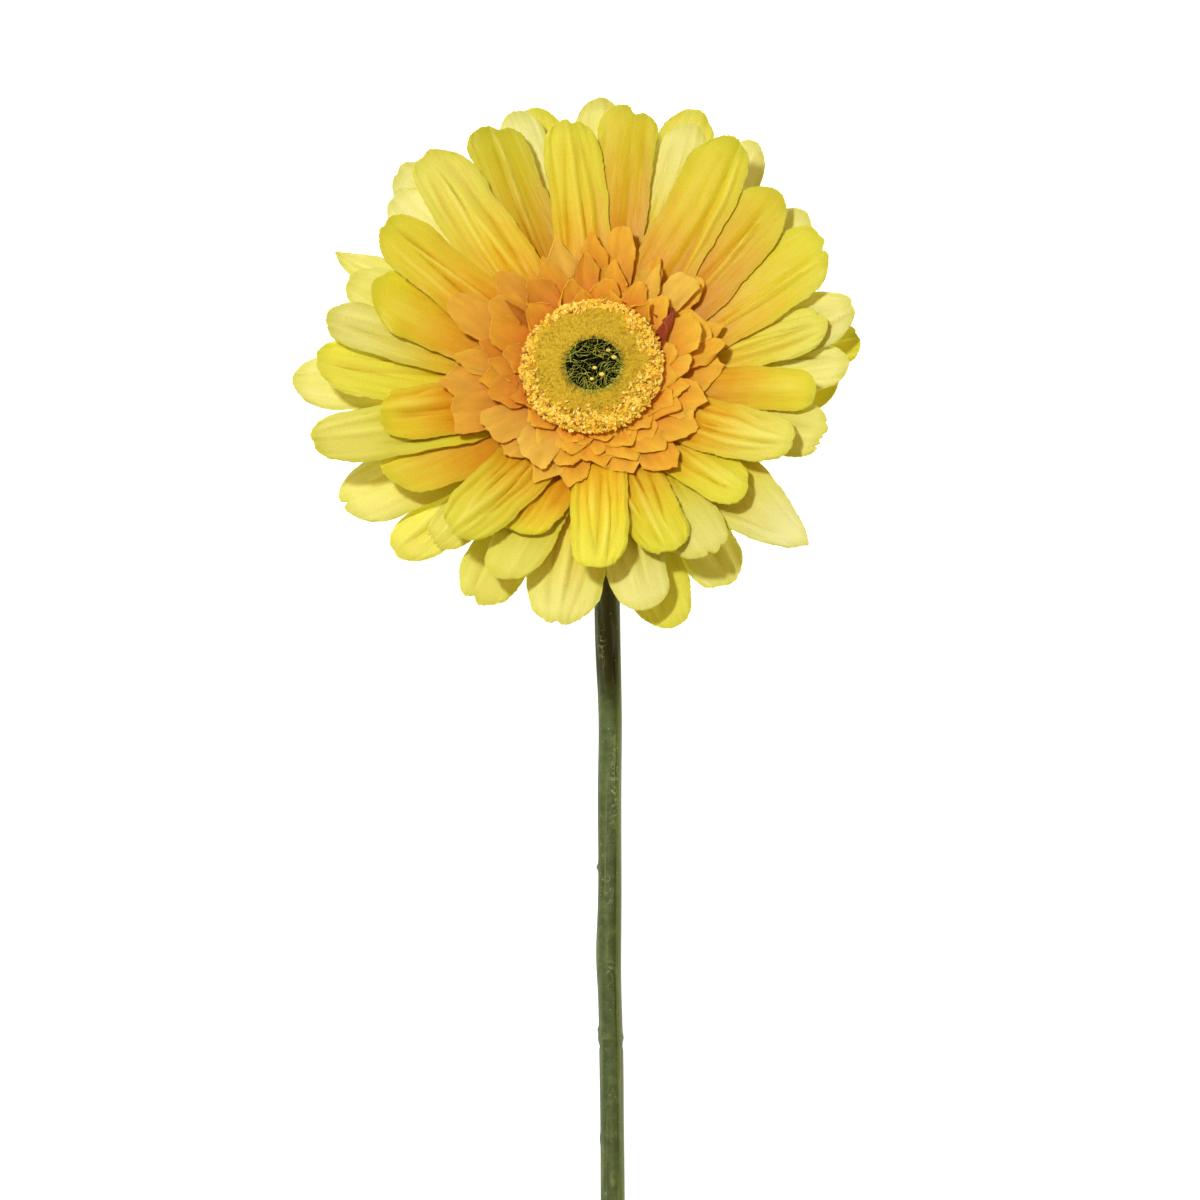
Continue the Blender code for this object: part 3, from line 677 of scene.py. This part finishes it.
# %% [markdown]
# ## The disc
#
# The middle of the flower is a low dome of soft foam, flocked with short yellow-green fibres. Round its
# rim sits a ring of crumbs, glossy resin granules glued on like pollen, and in the middle is a pit of
# dark, curly filaments. The dome is a turned profile. Crumbs and fibres are thousands of tiny closed
# shapes in a few meshes, so that they catch light one by one.

# %% The dome's shape
# The disc is glued onto the collar of the top rosette.
COLLAR_RADIUS, HALF_COLLAR, GLUE_GAP = 12.5, 0.25, 0.3
DISC_BOTTOM = float(surface_height(-len(FLORET_ROWS), np.array((0, COLLAR_RADIUS)))) + HALF_COLLAR + GLUE_GAP
DISC_OUTLINE = [(0, 0), (12, 0), (14.2, 1.1), (14.8, 2.1), (14.2, 3.0), (12.8, 3.5), (10.8, 3.7), (8.5, 4.3),
                (6.2, 4.6), (5.6, 4.3), (5.3, 3.3), (0, 3.3)]
PIT_RADIUS = 5.5
PIT_SHIFT = (0.5, -0.4, 0)


def smooth_profile(outline, steps):
    """The outline with extra points on a Catmull-Rom curve."""
    points = np.array(outline, float)
    made = []
    for at, (start, end) in enumerate(zip(points[:-1], points[1:])):
        before, after = points[max(at - 1, 0)], points[min(at + 2, len(points) - 1)]
        for t in np.arange(steps) / steps:
            made.append(0.5 * (2 * start + (end - before) * t + (2 * before - 5 * start + 4 * end - after) * t ** 2
                               + (3 * start - before - 3 * end + after) * t ** 3))
    return np.array(made + [points[-1]])


def on_disc(points):
    """World places of the disc's points, its middle moved a little, as the pit is off centre."""
    radius = np.linalg.norm(points[:, :2], axis=1)
    return to_world(points + np.outer(smooth_step(11, 6.5, radius), PIT_SHIFT))


def ring_quads(rows, sides, closed=False):
    """Faces between rings of points. closed also joins the last ring to the first."""
    index = np.arange(rows * sides).reshape(rows, sides)
    if closed:
        index = np.concatenate([index, index[:1]])
    after = np.roll(index, -1, axis=1)
    return np.stack([index[:-1], after[:-1], after[1:], index[1:]], axis=-1).reshape(-1, 4)


def turned_mesh(name, profile, relief=None, steps=144):
    """A solid of revolution in the head's frame, closed on its axis. relief moves points outwards (mm)."""
    angle = np.arange(steps) * 2 * math.pi / steps
    slope = unit(np.gradient(profile, axis=0))
    amount = relief(np.linspace(0, 1, len(profile))[:, None], angle) if relief else 0
    radius = profile[:, :1].clip(0) + slope[:, 1:] * amount
    height = profile[:, 1:] - slope[:, :1] * amount
    rings = np.stack([radius * np.sin(angle), radius * np.cos(angle), height + 0 * angle], axis=-1)
    inner = rings[1:-1].reshape(-1, 3)
    points = np.concatenate([inner, rings[[0, -1]].mean(1)])
    index, last = np.arange(steps), len(inner) - steps
    after = np.roll(index, -1)
    faces = np.roll(ring_quads(len(profile) - 2, steps)[:, ::-1], 1, axis=1).tolist()
    faces += [[len(inner), a, b] for a, b in zip(index, after)]
    faces += [[len(inner) + 1, b + last, a + last] for a, b in zip(index, after)]
    return new_mesh(name, on_disc(points), faces, {}, 50)


def disc_height(radius):
    """Height of the dome's top over the head's plane at a radius from its axis, in mm."""
    radii, heights = zip(*DISC_OUTLINE[9:2:-1])
    return DISC_BOTTOM + np.interp(radius, radii, heights)


print("the disc's underside is", round(DISC_BOTTOM, 2), "mm above the head's plane")

# %% [markdown]
# ### Flocked foam
#
# Flocking is short nylon fibre shot into wet glue. From a distance it is a matt yellow-green, and close
# up it is speckled. Nothing in it reflects. A noise gives the colour, and the same noise the bump. Grain
# is in cells per metre, so 1600 is one in 0.6 mm.

# %% Flocked foam and the dome
def grainy_material(name, stops, blotches, grain, strength, depth, **constants):
    """Colour from a noise of blotches and bump from one of grain, each (scale, detail). depth is in mm."""
    material, shader, node = new_material(name, **constants)
    place = node("TexCoord").outputs["Object"]
    fine = node("TexNoise", [place, *grain])
    fill(shader, {"Base Color": node("ValToRGB", [node("TexNoise", [place, *blotches])], stops),
                  "Normal": node("Bump", dict(Height=fine, Strength=strength, Distance=depth * MM))})
    return material


def flock(name, scale, sheen, stops):
    return grainy_material(name, stops, (scale, 3), (scale, 3), 0.8, 0.2, Roughness=0.9, IOR=1.45,
                           Specular_IOR_Level=0.1, Sheen_Weight=sheen, Sheen_Roughness=0.5)


foam = flock("flocked_foam", 1600, 0.3, [(0.3, "#B09020"), (0.42, "#CBAA2C"), (0.6, "#D8B834"), (0.8, "#E0C644")])
dome_profile = smooth_profile([(radius, DISC_BOTTOM + height) for radius, height in DISC_OUTLINE], 5)
place_piece(turned_mesh("disc_dome", dome_profile), foam, "flower_disc")

# %% [markdown]
# ### Crumbs and fibres
#
# One helper joins many small closed shapes into a single mesh, each with a shade of its own. Crumbs are
# squashed icospheres. A fibre is a thin tapered tube along a curve.

# %% Scatter helpers
def tube(line, across, up, radius):
    """Rings of points round a line. radius has a row for each of its points and a column for each side."""
    angle = (np.arange(radius.shape[1]) * 2 * math.pi / radius.shape[1])[:, None]
    return line[:, None] + radius[..., None] * (across[:, None] * np.cos(angle) + up[:, None] * np.sin(angle))


def fibre(line, radius, shade):
    """A closed three-sided tube along a line of points, thinner at its far end."""
    count = len(line)
    along = unit(np.gradient(line, axis=0))
    across = unit(np.cross(along, (0.31, 0.17, 0.93)))
    thick = radius * (1 - 0.65 * np.arange(count) / (count - 1))
    quads = ring_quads(count, 3)
    ends = [(2, 1, 0), (3 * count - 3, 3 * count - 2, 3 * count - 1)]
    faces = np.concatenate([quads[:, :3], quads[:, [0, 2, 3]], ends])
    points = tube(line, across, np.cross(along, across), np.repeat(thick[:, None], 3, 1))
    return points.reshape(-1, 3), faces, shade


def mesh_of_parts(name, parts):
    """One mesh from (points in the head's frame in mm, triangles, shade) parts."""
    points, faces, shades = zip(*parts)
    sizes = [len(each) for each in points]
    starts = np.cumsum(sizes) - sizes
    joined = np.concatenate([each + start for each, start in zip(faces, starts)]).tolist()
    return new_mesh(name, on_disc(np.concatenate(points)), joined, {"shade": np.repeat(shades, sizes)}, 180)


def spoke(angle):
    """At an angle on the disc: the way out, the way round, and how far it is on the low side, 0 to 1."""
    out = np.array((math.sin(angle), math.cos(angle), 0))
    return out, np.array((out[1], -out[0], 0)), 0.5 - 0.5 * out[1]


# %% [markdown]
# ### Pollen crumbs
#
# The crumbs are cast resin, amber to lemon, broken rather than moulded, so each has its own glint. Resin
# has an IOR of about 1.5 and these are glossy, which gives the white sparkle.

# %% Crumbs
def resin_material():
    material, shader, node = new_material("cast_resin_crumb", Roughness=0.26, IOR=1.5)
    shade = node("Attribute", attribute_name="shade").outputs["Fac"]
    colour = node("ValToRGB", [shade], [(0, "#8A5216"), (0.1, "#CC9026"), (0.22, "#FFC840"), (0.65, "#FFE058"),
                                        (1, "#FCEA84")])
    noise = node("TexNoise", [node("TexCoord").outputs["Object"], 2500, 1])
    fill(shader, {"Base Color": colour, "Normal": node("Bump", dict(Height=noise, Strength=0.6, Distance=0.15 * MM))})
    return material


CRUMBS_START, CRUMBS_END = 9.8, 15.1
FALLEN_CRUMBS = [(0.4, -1.1), (1.9, -2.6), (4.4, 1.2), (3.2, 2.8), (-0.2, -3.6)]
ball = bmesh.new()
bmesh.ops.create_icosphere(ball, subdivisions=1, radius=1)
BALL = np.array([vertex.co for vertex in ball.verts])
BALL_FACES = np.array([[vertex.index for vertex in face.verts] for face in ball.faces])
ball.free()


def rim_crumbs(count, random):
    """Crumbs on the dome's rim, fewer at the upper left, with a ragged inner edge."""
    parts, ring = [], CRUMBS_END - CRUMBS_START
    while len(parts) < count:
        angle = random.uniform(0, 2 * math.pi)
        radius = CRUMBS_END - ring * abs(random.normal(0, 0.5))
        upper_left = 0.5 + 0.5 * math.cos(angle - math.radians(330))
        ragged = 0.12 * math.sin(5 * angle) + 0.1 * math.sin(13 * angle + 1) + random.normal(0, 0.06)
        if radius < CRUMBS_START + (0.6 * upper_left + ragged) * ring:
            continue
        stretch = np.array((1, random.uniform(0.4, 0.85), random.uniform(0.35, 0.6))) * random.uniform(0.24, 0.72)
        z, y, x = random.uniform((0, -0.9, -0.9), (6.3, 0.9, 0.9))
        turn = np.array(Matrix.Rotation(z, 3, "Z") @ Matrix.Rotation(y, 3, "Y") @ Matrix.Rotation(x, 3, "X"))
        centre = spoke(angle)[0] * radius + (0, 0, disc_height(radius) + random.uniform(0, 0.3))
        broken = 1 + 0.3 * random.normal(0, 1, (len(BALL), 1)).clip(-1.5, 1.5)
        parts.append((BALL * stretch * broken @ turn.T + centre, BALL_FACES, random.uniform(0, 1)))
    return parts


random = np.random.default_rng(510)
crumbs = rim_crumbs(1550, random)
for x, y in FALLEN_CRUMBS:
    crumbs.append((BALL * random.uniform(0.5, 0.7) * (1, 0.75, 0.6) + (x, y, DISC_BOTTOM + 5.3), BALL_FACES, 0.85))
crumb_mesh = mesh_of_parts("pollen_crumbs", crumbs)
crumb_mesh.shade_flat()
place_piece(crumb_mesh, resin_material(), "flower_disc")

# %% Flock fibres
def fibre_material(name, stops, roughness):
    material, shader, node = new_material(name, Roughness=roughness, IOR=1.5, Specular_IOR_Level=0.25)
    noise = node("TexNoise", [node("TexCoord").outputs["Object"], 900])
    shade = node("Attribute", attribute_name="shade").outputs["Fac"]
    mixed = node("Math", [noise, 0.3, shade], operation="MULTIPLY_ADD")
    fill(shader, {"Base Color": node("ValToRGB", [mixed], stops)})
    return material


def flock_fibre(random, outward, around, low_side):
    radius = random.uniform(PIT_RADIUS + 0.2, 12.2)
    sideways = around * random.normal(0, 0.35)
    root = outward * radius + (0, 0, disc_height(radius) - 0.05)
    lean_out = outward * random.uniform(0.1, 0.8) + sideways
    size = random.uniform(0.5, 1)
    line = np.array([root, root + (lean_out * 0.4 + (0, 0, 0.4)) * size * 0.6, root + (lean_out + (0, 0, 0.5)) * size])
    brown = 0.06 + 0.6 * low_side * smooth_step(7.5, 11, radius) + 0.25 * smooth_step(7.4, 6, radius)
    return fibre(line, random.uniform(0.04, 0.065), random.uniform(*(0, 0.2) if random.random() < brown else (0.4, 1)))


def grown(kind, count, random):
    return [kind(random, *spoke(random.uniform(0, 2 * math.pi))) for _ in range(count)]


flock_mesh = mesh_of_parts("disc_flocking", grown(flock_fibre, 2600, np.random.default_rng(520)))
nylon = fibre_material("nylon_flock", [(0.1, "#5C4C14"), (0.4, "#C0A42A"), (0.7, "#DABC36"), (1, "#E8D458")], 0.7)
place_piece(flock_mesh, nylon, "flower_disc")

# %% [markdown]
# ### The dark pit
#
# The pit is lined with near-black green flock and holds curly rayon filaments that bend in over it from
# its rim. Their colour is painted light and shade: lime near the rim and on the low side, where light
# would reach them, and grey-green deeper in. Others cross the rim outwards and lie on the yellow flock.

# %% Pit filaments
PIT_FLOOR = DISC_BOTTOM + 3.3
PIT_LINING = [(0, 0), (5.2, 0), (5.7, 1.15), (5.6, 1.3), (4.8, 0.8), (3.6, 0.45), (0, 0.35)]


def pit_filament(random, outward, around, low_side):
    radius = PIT_RADIUS * math.sqrt(random.uniform(0.03, 1.3))
    size, curl = random.uniform(1.2, 3.2), random.uniform(-0.9, 0.9)
    height = disc_height(radius) - 0.3 if radius > PIT_RADIUS * 0.95 else PIT_FLOOR + 0.4
    steps = np.linspace(0, 1, 6)[:, None]
    line = outward * radius + (0, 0, height) - outward * size * steps * 0.8 + around * curl * size * steps ** 2
    line = line + np.array((0, 0, 1)) * size * 0.55 * np.sin(steps * math.pi * 0.62)
    # Painted light: near the rim and on the low side more filaments are coloured lime, as if lit.
    bright = random.random() < 0.3 + (0.2 + 0.4 * low_side) * smooth_step(0.5, 0.9, radius / PIT_RADIUS)
    thick = random.uniform(*(0.06, 0.1) if bright else (0.05, 0.09))
    return fibre(line, thick, random.uniform(*(0.55, 0.95) if bright else (0, 0.2)))


def pit_fringe(random, outward, around, low_side):
    start = PIT_RADIUS + random.uniform(-0.6, 0.3)
    swing = around * random.normal(0, 0.5)
    size = random.uniform(0.5, 1.3) * (1 + 0.6 * low_side)
    steps = np.linspace(0, 1, 4)[:, None]
    line = outward * (start + size * steps) + swing * size * steps ** 2
    rise = disc_height(np.linalg.norm(line[:, :2], axis=1)) + 0.12
    line = line + np.outer(rise, (0, 0, 1)) + (0, 0, 0.15) * np.sin(steps * math.pi)
    thick, dark = random.uniform(0.04, 0.06), random.random() < 0.55 - 0.3 * low_side
    return fibre(line, thick, random.uniform(*(0, 0.25) if dark else (0.5, 0.95)))


pit_flock = flock("black_green_flock", 1100, 0, [(0.3, "#020301"), (0.5, "#050702"), (0.7, "#0C1004"),
                                                 (0.9, "#1A2208")])
lining = turned_mesh("pit_lining", smooth_profile(PIT_LINING, 4) + (0, PIT_FLOOR))
place_piece(lining, pit_flock, "centre_tuft")
random = np.random.default_rng(530)
filament_mesh = mesh_of_parts("pit_filaments", grown(pit_filament, 300, random) + grown(pit_fringe, 480, random))
rayon = fibre_material("rayon_filament", [(0.15, "#0C0F05"), (0.4, "#2A340F"), (0.7, "#98A43C"), (1, "#E4E86C")], 0.4)
place_piece(filament_mesh, rayon, "centre_tuft")

# %% [markdown]
# ## The calyx
#
# Behind the head sits a moulded green cup of polyethylene. Its mould was cut with overlapping pointed
# bracts, like the scales on a real gerbera's back. A dense turned shape with the bracts worked into its
# height keeps the cup one closed solid, as the moulding is.

# %% Calyx and its bracts
CALYX_BOTTOM = -17.9
CALYX_OUTLINE = [(0, 5), (2.85, 5), (2.85, 0), (3.75, 0), (5, 1.6), (8.4, 4), (11.2, 7.2), (13.4, 9.4), (13.9, 10.3),
                 (0, 10.3)]
# Where each row of bracts starts and ends along the outline, how many it has, and how high they stand (mm).
BRACT_ROWS = [(0.3, 0.62, 13, 0.45), (0.42, 0.78, 15, 0.45), (0.56, 0.92, 17, 0.5)]
POLYETHYLENE = dict(IOR=1.51, Specular_IOR_Level=0.4)


def moulded_green(name, scale, roughness, stops):
    return grainy_material(name, stops, (scale, 5), (1400, 2), 0.5, 0.08, Roughness=roughness, **POLYETHYLENE)


def bract_relief(share, angle):
    """Rows of pointed scales: each rises from its root and drops off past its outline."""
    height = np.zeros(np.broadcast(share, angle).shape)
    for row, (start, end, count, amount) in enumerate(BRACT_ROWS):
        turn = angle * count / (2 * math.pi) + 0.5 * row
        across = np.abs(turn - np.round(turn)) * 2
        along = (share - start) / (end - start)
        edge = 0.95 * np.sqrt(np.clip(1 - along, 0, 1)) - across
        inside = smooth_step(-0.02, 0.1, edge) * smooth_step(-0.15, 0.15, along)
        height = np.maximum(height, amount * inside * (0.35 + 0.65 * np.clip(along, 0, 1)) - 0.12 * (across < 0.06))
    return height * (share > 0.25)


def length_along(points):
    """How far along a line each of its points is."""
    return np.concatenate([[0], np.cumsum(np.linalg.norm(np.diff(points, axis=0), axis=1))])


corners = np.array(CALYX_OUTLINE, float)
run = length_along(corners)
even = np.linspace(0, run[-1], 120)
calyx_profile = np.stack([np.interp(even, run, axis) for axis in corners.T], axis=1) + (0, CALYX_BOTTOM)
calyx_green = moulded_green("moulded_polyethylene_calyx", 260, 0.55, [(0.3, "#3C4A1E"), (0.5, "#566628"),
                                                                      (0.7, "#6E7E34")])
place_piece(turned_mesh("calyx_cup", calyx_profile, bract_relief, 204), calyx_green, "calyx")

# %% [markdown]
# ## The core
#
# The core that the petals are threaded on hardly shows. Its CAD shape is right, so it stays, and gets
# the same moulded plastic in a yellower green.

# %% Core
def coat(node, material):
    """Give a CAD node that keeps its shape a new material."""
    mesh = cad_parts[node].data
    mesh.materials.clear()
    mesh.materials.append(material)
    print(node, "keeps its CAD shape:", len(mesh.polygons), "faces")


core_green = moulded_green("moulded_polyethylene_core", 300, 0.6, [(0.3, "#6E7430"), (0.7, "#8C9440")])
coat("receptacle", core_green)

# %% [markdown]
# ## The stem
#
# The stem is polyethylene moulded over a steel wire in a two-part mould, which leaves a thin flash line
# down the side, a raised ring where its halves were butted together, and here and there a pimple. It is
# a tube swept along the same line as the CAD stem, with those marks in its radius.

# %% The stem's line
STEM_RADIUS = 2.55
STEM_END_Y = -200
NECK_LENGTH = 0.5
SOCKET_DEPTH = 4.7
STEM_SWING, STEM_SWING_LENGTH = 1, 25
STEM_BOW, STEM_BOW_WAVES = 1.6, 0.75
BEND_STEPS, RUN_STEPS = 36, 380


def stem_line():
    """Centre line of the stem in mm: out of the calyx, round the neck's bend, along the table."""
    mouth = to_world(np.array((0, 0, CALYX_BOTTOM)))
    table = Vector((0, -1, 0))
    turn = Vector(FACING).angle(-table)
    line = [mouth + FACING * SOCKET_DEPTH, mouth, mouth - FACING * NECK_LENGTH]
    bend_radius = (line[-1][2] - STEM_RADIUS) / (1 - math.cos(turn))
    stride = 2 * bend_radius * math.sin(turn / BEND_STEPS / 2)
    for step in range(BEND_STEPS):
        line.append(line[-1] + np.array((-Vector(FACING)).slerp(table, (step + 0.5) / BEND_STEPS)) * stride)
    x, y, _ = line[-1]
    part = np.arange(1, RUN_STEPS + 1) / RUN_STEPS
    run = part * (y - STEM_END_Y)
    x = x + STEM_SWING * (1 - np.exp(-run / STEM_SWING_LENGTH))
    x += STEM_BOW * part * np.sin(part * 2 * math.pi * STEM_BOW_WAVES) ** 2
    return np.concatenate([line, np.stack([x, y - run, np.full(RUN_STEPS, STEM_RADIUS)], axis=1)])


STEM_LINE = stem_line()
print("stem line:", len(STEM_LINE), "points, ends at", np.round(STEM_LINE[-1], 1))

# %% Sweep the stem
STEM_SIDES = 44
BORE_RADIUS = 1.15
JOINT_RING_Y = 2.7
SEAM_ANGLE = math.radians(55)
# Drips and pimples of the plastic: y (mm), angle, height (mm), half length (mm), half angle. Angles in degrees.
STEM_MARKS = [(85, 115, 0.24, 2, 9), (82, 108, 0.16, 1.2, 7), (38.7, 180, 0.5, 0.6, 17), (32, 84, 0.24, 1.1, 8),
              (30.4, 76, 0.2, 0.8, 6), (4.1, 176, 0.34, 0.7, 20), (2, 178, 0.26, 0.6, 20), (2.4, 12, 0.2, 0.5, 20),
              (-18.7, 180, 0.2, 0.9, 18), (-27.5, 92, 0.22, 1.6, 9), (20.4, 180, 0.34, 6.5, 40),
              (53, 66, 0.22, 2.6, 5), (58, 70, 0.22, 1.6, 5), (62.5, 62, 0.2, 1.3, 4), (49, 72, 0.2, 1.2, 4),
              (66, 78, 0.2, 1.2, 5), (-9, 100, 0.16, 3, 6), (12, 70, 0.18, 1.2, 4), (26, 62, 0.2, 2, 4)]
# Folds pressed in under the head: angle in radians, depth (mm).
STEM_FOLDS = [(1.45, 0.35), (2.1, 0.3), (0.9, 0.3), (2.7, 0.25)]
# Where glue was wiped off in worm-like strokes: y and half length (mm), angle and half angle (degrees).
STEM_RUBS = [(55, 9, 66, 20), (34, 3, 92, 22), (85, 3.5, 118, 16), (16, 2.5, 80, 25)]


def stem_mesh():
    """The stem's skin with its mould marks, the bore for the wire, and a cut face between them."""
    along = unit(np.gradient(STEM_LINE, axis=0))
    across = np.zeros_like(along)
    before = np.array((1, 0, 0))
    for at, way in enumerate(along):
        before = across[at] = unit(before - way * before.dot(way))
    up = np.cross(along, across)
    angle = np.arange(STEM_SIDES) * 2 * math.pi / STEM_SIDES
    run, y = length_along(STEM_LINE)[:, None], STEM_LINE[:, 1:2]
    radius = STEM_RADIUS - 0.04 + 0.05 * np.sin(run / 7.3) * np.cos(run / 11)
    radius = radius + 0.05 * np.sin(3 * angle + run / 16) + 0.03 * np.sin(5 * angle - run / 9)
    radius += 0.14 * bump_at(y, JOINT_RING_Y, 0.8) - 0.16 * bump_at(y, JOINT_RING_Y - 1.6, 0.6)
    seam = 0.12 * bump_at(angle, SEAM_ANGLE - 0.16, 0.1) - 0.2 * bump_at(angle, SEAM_ANGLE, 0.09)
    radius += seam * (0.8 + 0.3 * np.sin(run / 4.1))
    for mark_y, mark_angle, height, half_length, half_angle in STEM_MARKS:
        wander = math.radians(mark_angle) + 0.12 * np.sin((y - mark_y) * 2.6)
        radius += height * bump_at(y, mark_y, half_length) * bump_at(angle, wander, math.radians(half_angle))
    radius += 0.2 * smooth_step(72, 92, y)
    for place, deep in STEM_FOLDS:
        radius -= deep * smooth_step(72, 82, y) * bump_at(angle, place + 0.12 * np.sin(y / 2.3 + 5 * place), 0.14)
    skin = tube(STEM_LINE, across, up, radius)
    skin[..., 2] = np.maximum(skin[..., 2], 0.02)
    skin[..., 0] += 0.45 * bump_at(y, 70, 13) - 0.3 * bump_at(y, 18, 14) + 0.65 * bump_at(y, -42, 28)
    bore = tube(STEM_LINE, across, up, np.full_like(radius, BORE_RADIUS))
    # Painted shadow of the head: the stem is drawn darker just under it, most on its upper side.
    painted_head_shadow = smooth_step(70, 84, y) * (0.6 + 0.4 * bump_at(angle, 1.4, 0.6))
    strip = smooth_step(SEAM_ANGLE, SEAM_ANGLE - 0.1, angle) * smooth_step(-0.1, 0.3, angle) + 0 * y
    rub = sum(bump_at(y, rub_y, half_length) * bump_at(np.degrees(angle), rub_angle, half_angle)
              for rub_y, half_length, rub_angle, half_angle in STEM_RUBS)
    field = np.dstack([painted_head_shadow, strip, radius - STEM_RADIUS])
    fields = {"stem_field": np.concatenate([field, field[::-1]]).reshape(-1, 3),
              "stem_rub": np.concatenate([rub, rub[::-1]]).ravel()}
    points = np.concatenate([skin, bore[::-1]]).reshape(-1, 3)
    return new_mesh("stem_skin", points, ring_quads(2 * len(along), STEM_SIDES, closed=True).tolist(), fields, 50)


# %% [markdown]
# ### Stem plastic
#
# Moulded polyethylene is waxy: a broad soft highlight, no sparkle. The colour was sprayed on, so it is
# mottled green over olive and rubbed pale in fine lengthways scratches. Painted shade darkens it under
# the head and in its folds, and painted glints speck it pale.

# %% Stem material
def stem_plastic():
    material, shader, node = new_material("moulded_polyethylene_stem", Roughness=0.5, **POLYETHYLENE)
    field = node("Attribute", attribute_name="stem_field").outputs["Vector"]
    painted_head_shadow, strip, height = node("SeparateXYZ", [field]).outputs
    place = node("TexCoord").outputs["Object"]
    blotch = node("TexNoise", [place, 420, 6])
    green = node("ValToRGB", [blotch], [(0.3, "#3D4D26"), (0.45, "#48592E"), (0.58, "#516335"), (0.75, "#637445")])
    stripped = node("Math", [strip, 0.45], operation="MULTIPLY")
    stretched = node("Mapping", dict(Vector=place, Scale=(1, 0.06, 1)))
    scratched = node("MapRange", [node("TexNoise", [stretched, 900, 3]), 0.56, 0.7, 0, 0.4])
    rubbed = node("Math", [scratched, node("MapRange", [height, 0.06, 0.3, 0, 0.6])], operation="MAXIMUM")
    # Worm-like strokes follow one contour of a noise.
    swirl = node("TexNoise", dict(Vector=place, Scale=520, Detail=2, Distortion=0.6))
    from_contour = node("Math", [node("Math", [swirl, 0.5], operation="SUBTRACT")], operation="ABSOLUTE")
    rub = node("Attribute", attribute_name="stem_rub").outputs["Fac"]
    wiped = node("Math", [node("MapRange", [from_contour, 0.03, 0.012]), rub], operation="MULTIPLY")
    # Painted glints: tiny pale specks, as small pits catching the light look.
    painted_glints = node("MapRange", [node("TexNoise", [place, 1700, 1]), 0.71, 0.75, 0, 0.6])
    # Painted shade in the folds, dents and grooves, where the skin dips below its radius.
    low = node("MapRange", [height, -0.08, -0.28, 0, 0.8])
    colour = green
    # Layers: seam strip, rubs, painted head shadow, wiped strokes, painted glints, painted fold shade.
    for share, over in ((stripped, "#76863E"), (rubbed, "#94A070"), (painted_head_shadow, "#222109"), (wiped, "#9AA67C"),
                        (painted_glints, "#98A378"), (low, "#262A10")):
        colour = node("Mix", [share, colour, over], data_type="RGBA")
    fine = node("TexNoise", [place, 1200, 3])
    fill(shader, {"Base Color": colour, "Roughness": node("MapRange", [blotch, 0, 1, 0.42, 0.62]),
                  "Normal": node("Bump", dict(Height=fine, Strength=0.7, Distance=0.14 * MM))})
    return material


place_piece(stem_mesh(), stem_plastic(), "stem")

# %% [markdown]
# ## The wire
#
# A galvanised steel wire stiffens the stem and shows only at the cut end. The CAD wire is the right
# shape, so it stays. Drawn wire is bright with fine lines along it. A metal takes its colour from its
# reflections, so the base colour is the metal's own and the IOR stays as Blender sets it.

# %% Wire
steel, shader, node = new_material("drawn_galvanised_steel", Metallic=1)
lines = node("Mapping", dict(Vector=node("TexCoord").outputs["Object"], Scale=(1, 0.05, 1)))
noise = node("TexNoise", [lines, 4000, 3])
fill(shader, {"Base Color": node("ValToRGB", [noise], [(0.3, "#8C8E90"), (0.7, "#B4B6B8")]),
              "Roughness": node("MapRange", [noise, 0, 1, 0.25, 0.5])})
coat("stem_wire", steel)

# %% [markdown]
# ## The table, the light and the camera
#
# The flower lies on a white table that is lit through its top, so shadows on it almost vanish, and the
# camera looks straight down on it. One soft lamp stands at the upper left, 63 degrees up. It draws out
# the pressed ridges and throws short shadows from petal to petal, and a pale warm sky fills them.

# %% Table
TABLE_HALF = 1.5
acrylic, _, _ = new_material("white_acrylic_table", Roughness=0.6, IOR=1.49, Base_Color="#D2D8E2",
                             Emission_Color="#FFFFFF", Emission_Strength=0.92)
table_mesh = bpy.data.meshes.new("table")
table_mesh.from_pydata([(x * TABLE_HALF, y * TABLE_HALF, 0) for x, y in ((-1, -1), (1, -1), (1, 1), (-1, 1))], [],
                       [(0, 1, 2, 3)])
table_mesh.materials.append(acrylic)


def stand(name, data, place):
    """Stand something beside the flower, at a place in metres."""
    thing = bpy.data.objects.new(name, data)
    thing.location = place
    bpy.context.scene.collection.objects.link(thing)
    return thing


stand("table", table_mesh, (0, 0, 0))

# %% Light
LAMP_CLOCK, LAMP_ELEVATION, LAMP_DISTANCE = 318, math.radians(63), 1.5
HEAD_MIDDLE = Vector(to_world(np.array((0, 0, 6)))) * MM
lamp_data = bpy.data.lights.new("key", "AREA")
lamp_data.shape = "DISK"
lamp_data.size = 0.16
lamp_data.energy = 14.4
lamp_data.color = linear("#FFFDF6")[:3]
towards = Vector((*clock_direction(LAMP_CLOCK) * math.cos(LAMP_ELEVATION), math.sin(LAMP_ELEVATION)))
lamp = stand("key", lamp_data, HEAD_MIDDLE + towards * LAMP_DISTANCE)
lamp.rotation_euler = towards.to_track_quat("Z", "Y").to_euler()
sky = bpy.data.worlds.new("pale_studio")
sky.use_nodes = True
fill(sky.node_tree.nodes["Background"], dict(Color="#FFE4AC", Strength=0.46))
bpy.context.scene.world = sky
bpy.context.scene.view_settings.view_transform = "Standard"

# %% Camera
CAMERA_PLACE = (4.9, 95, 5031)
camera_data = bpy.data.cameras.new("camera")
camera_data.lens = 714.3
camera_data.sensor_width = 36
bpy.context.scene.camera = stand("camera", camera_data, Vector(CAMERA_PLACE) * MM)
print("the camera looks straight down from", CAMERA_PLACE[2], "mm")
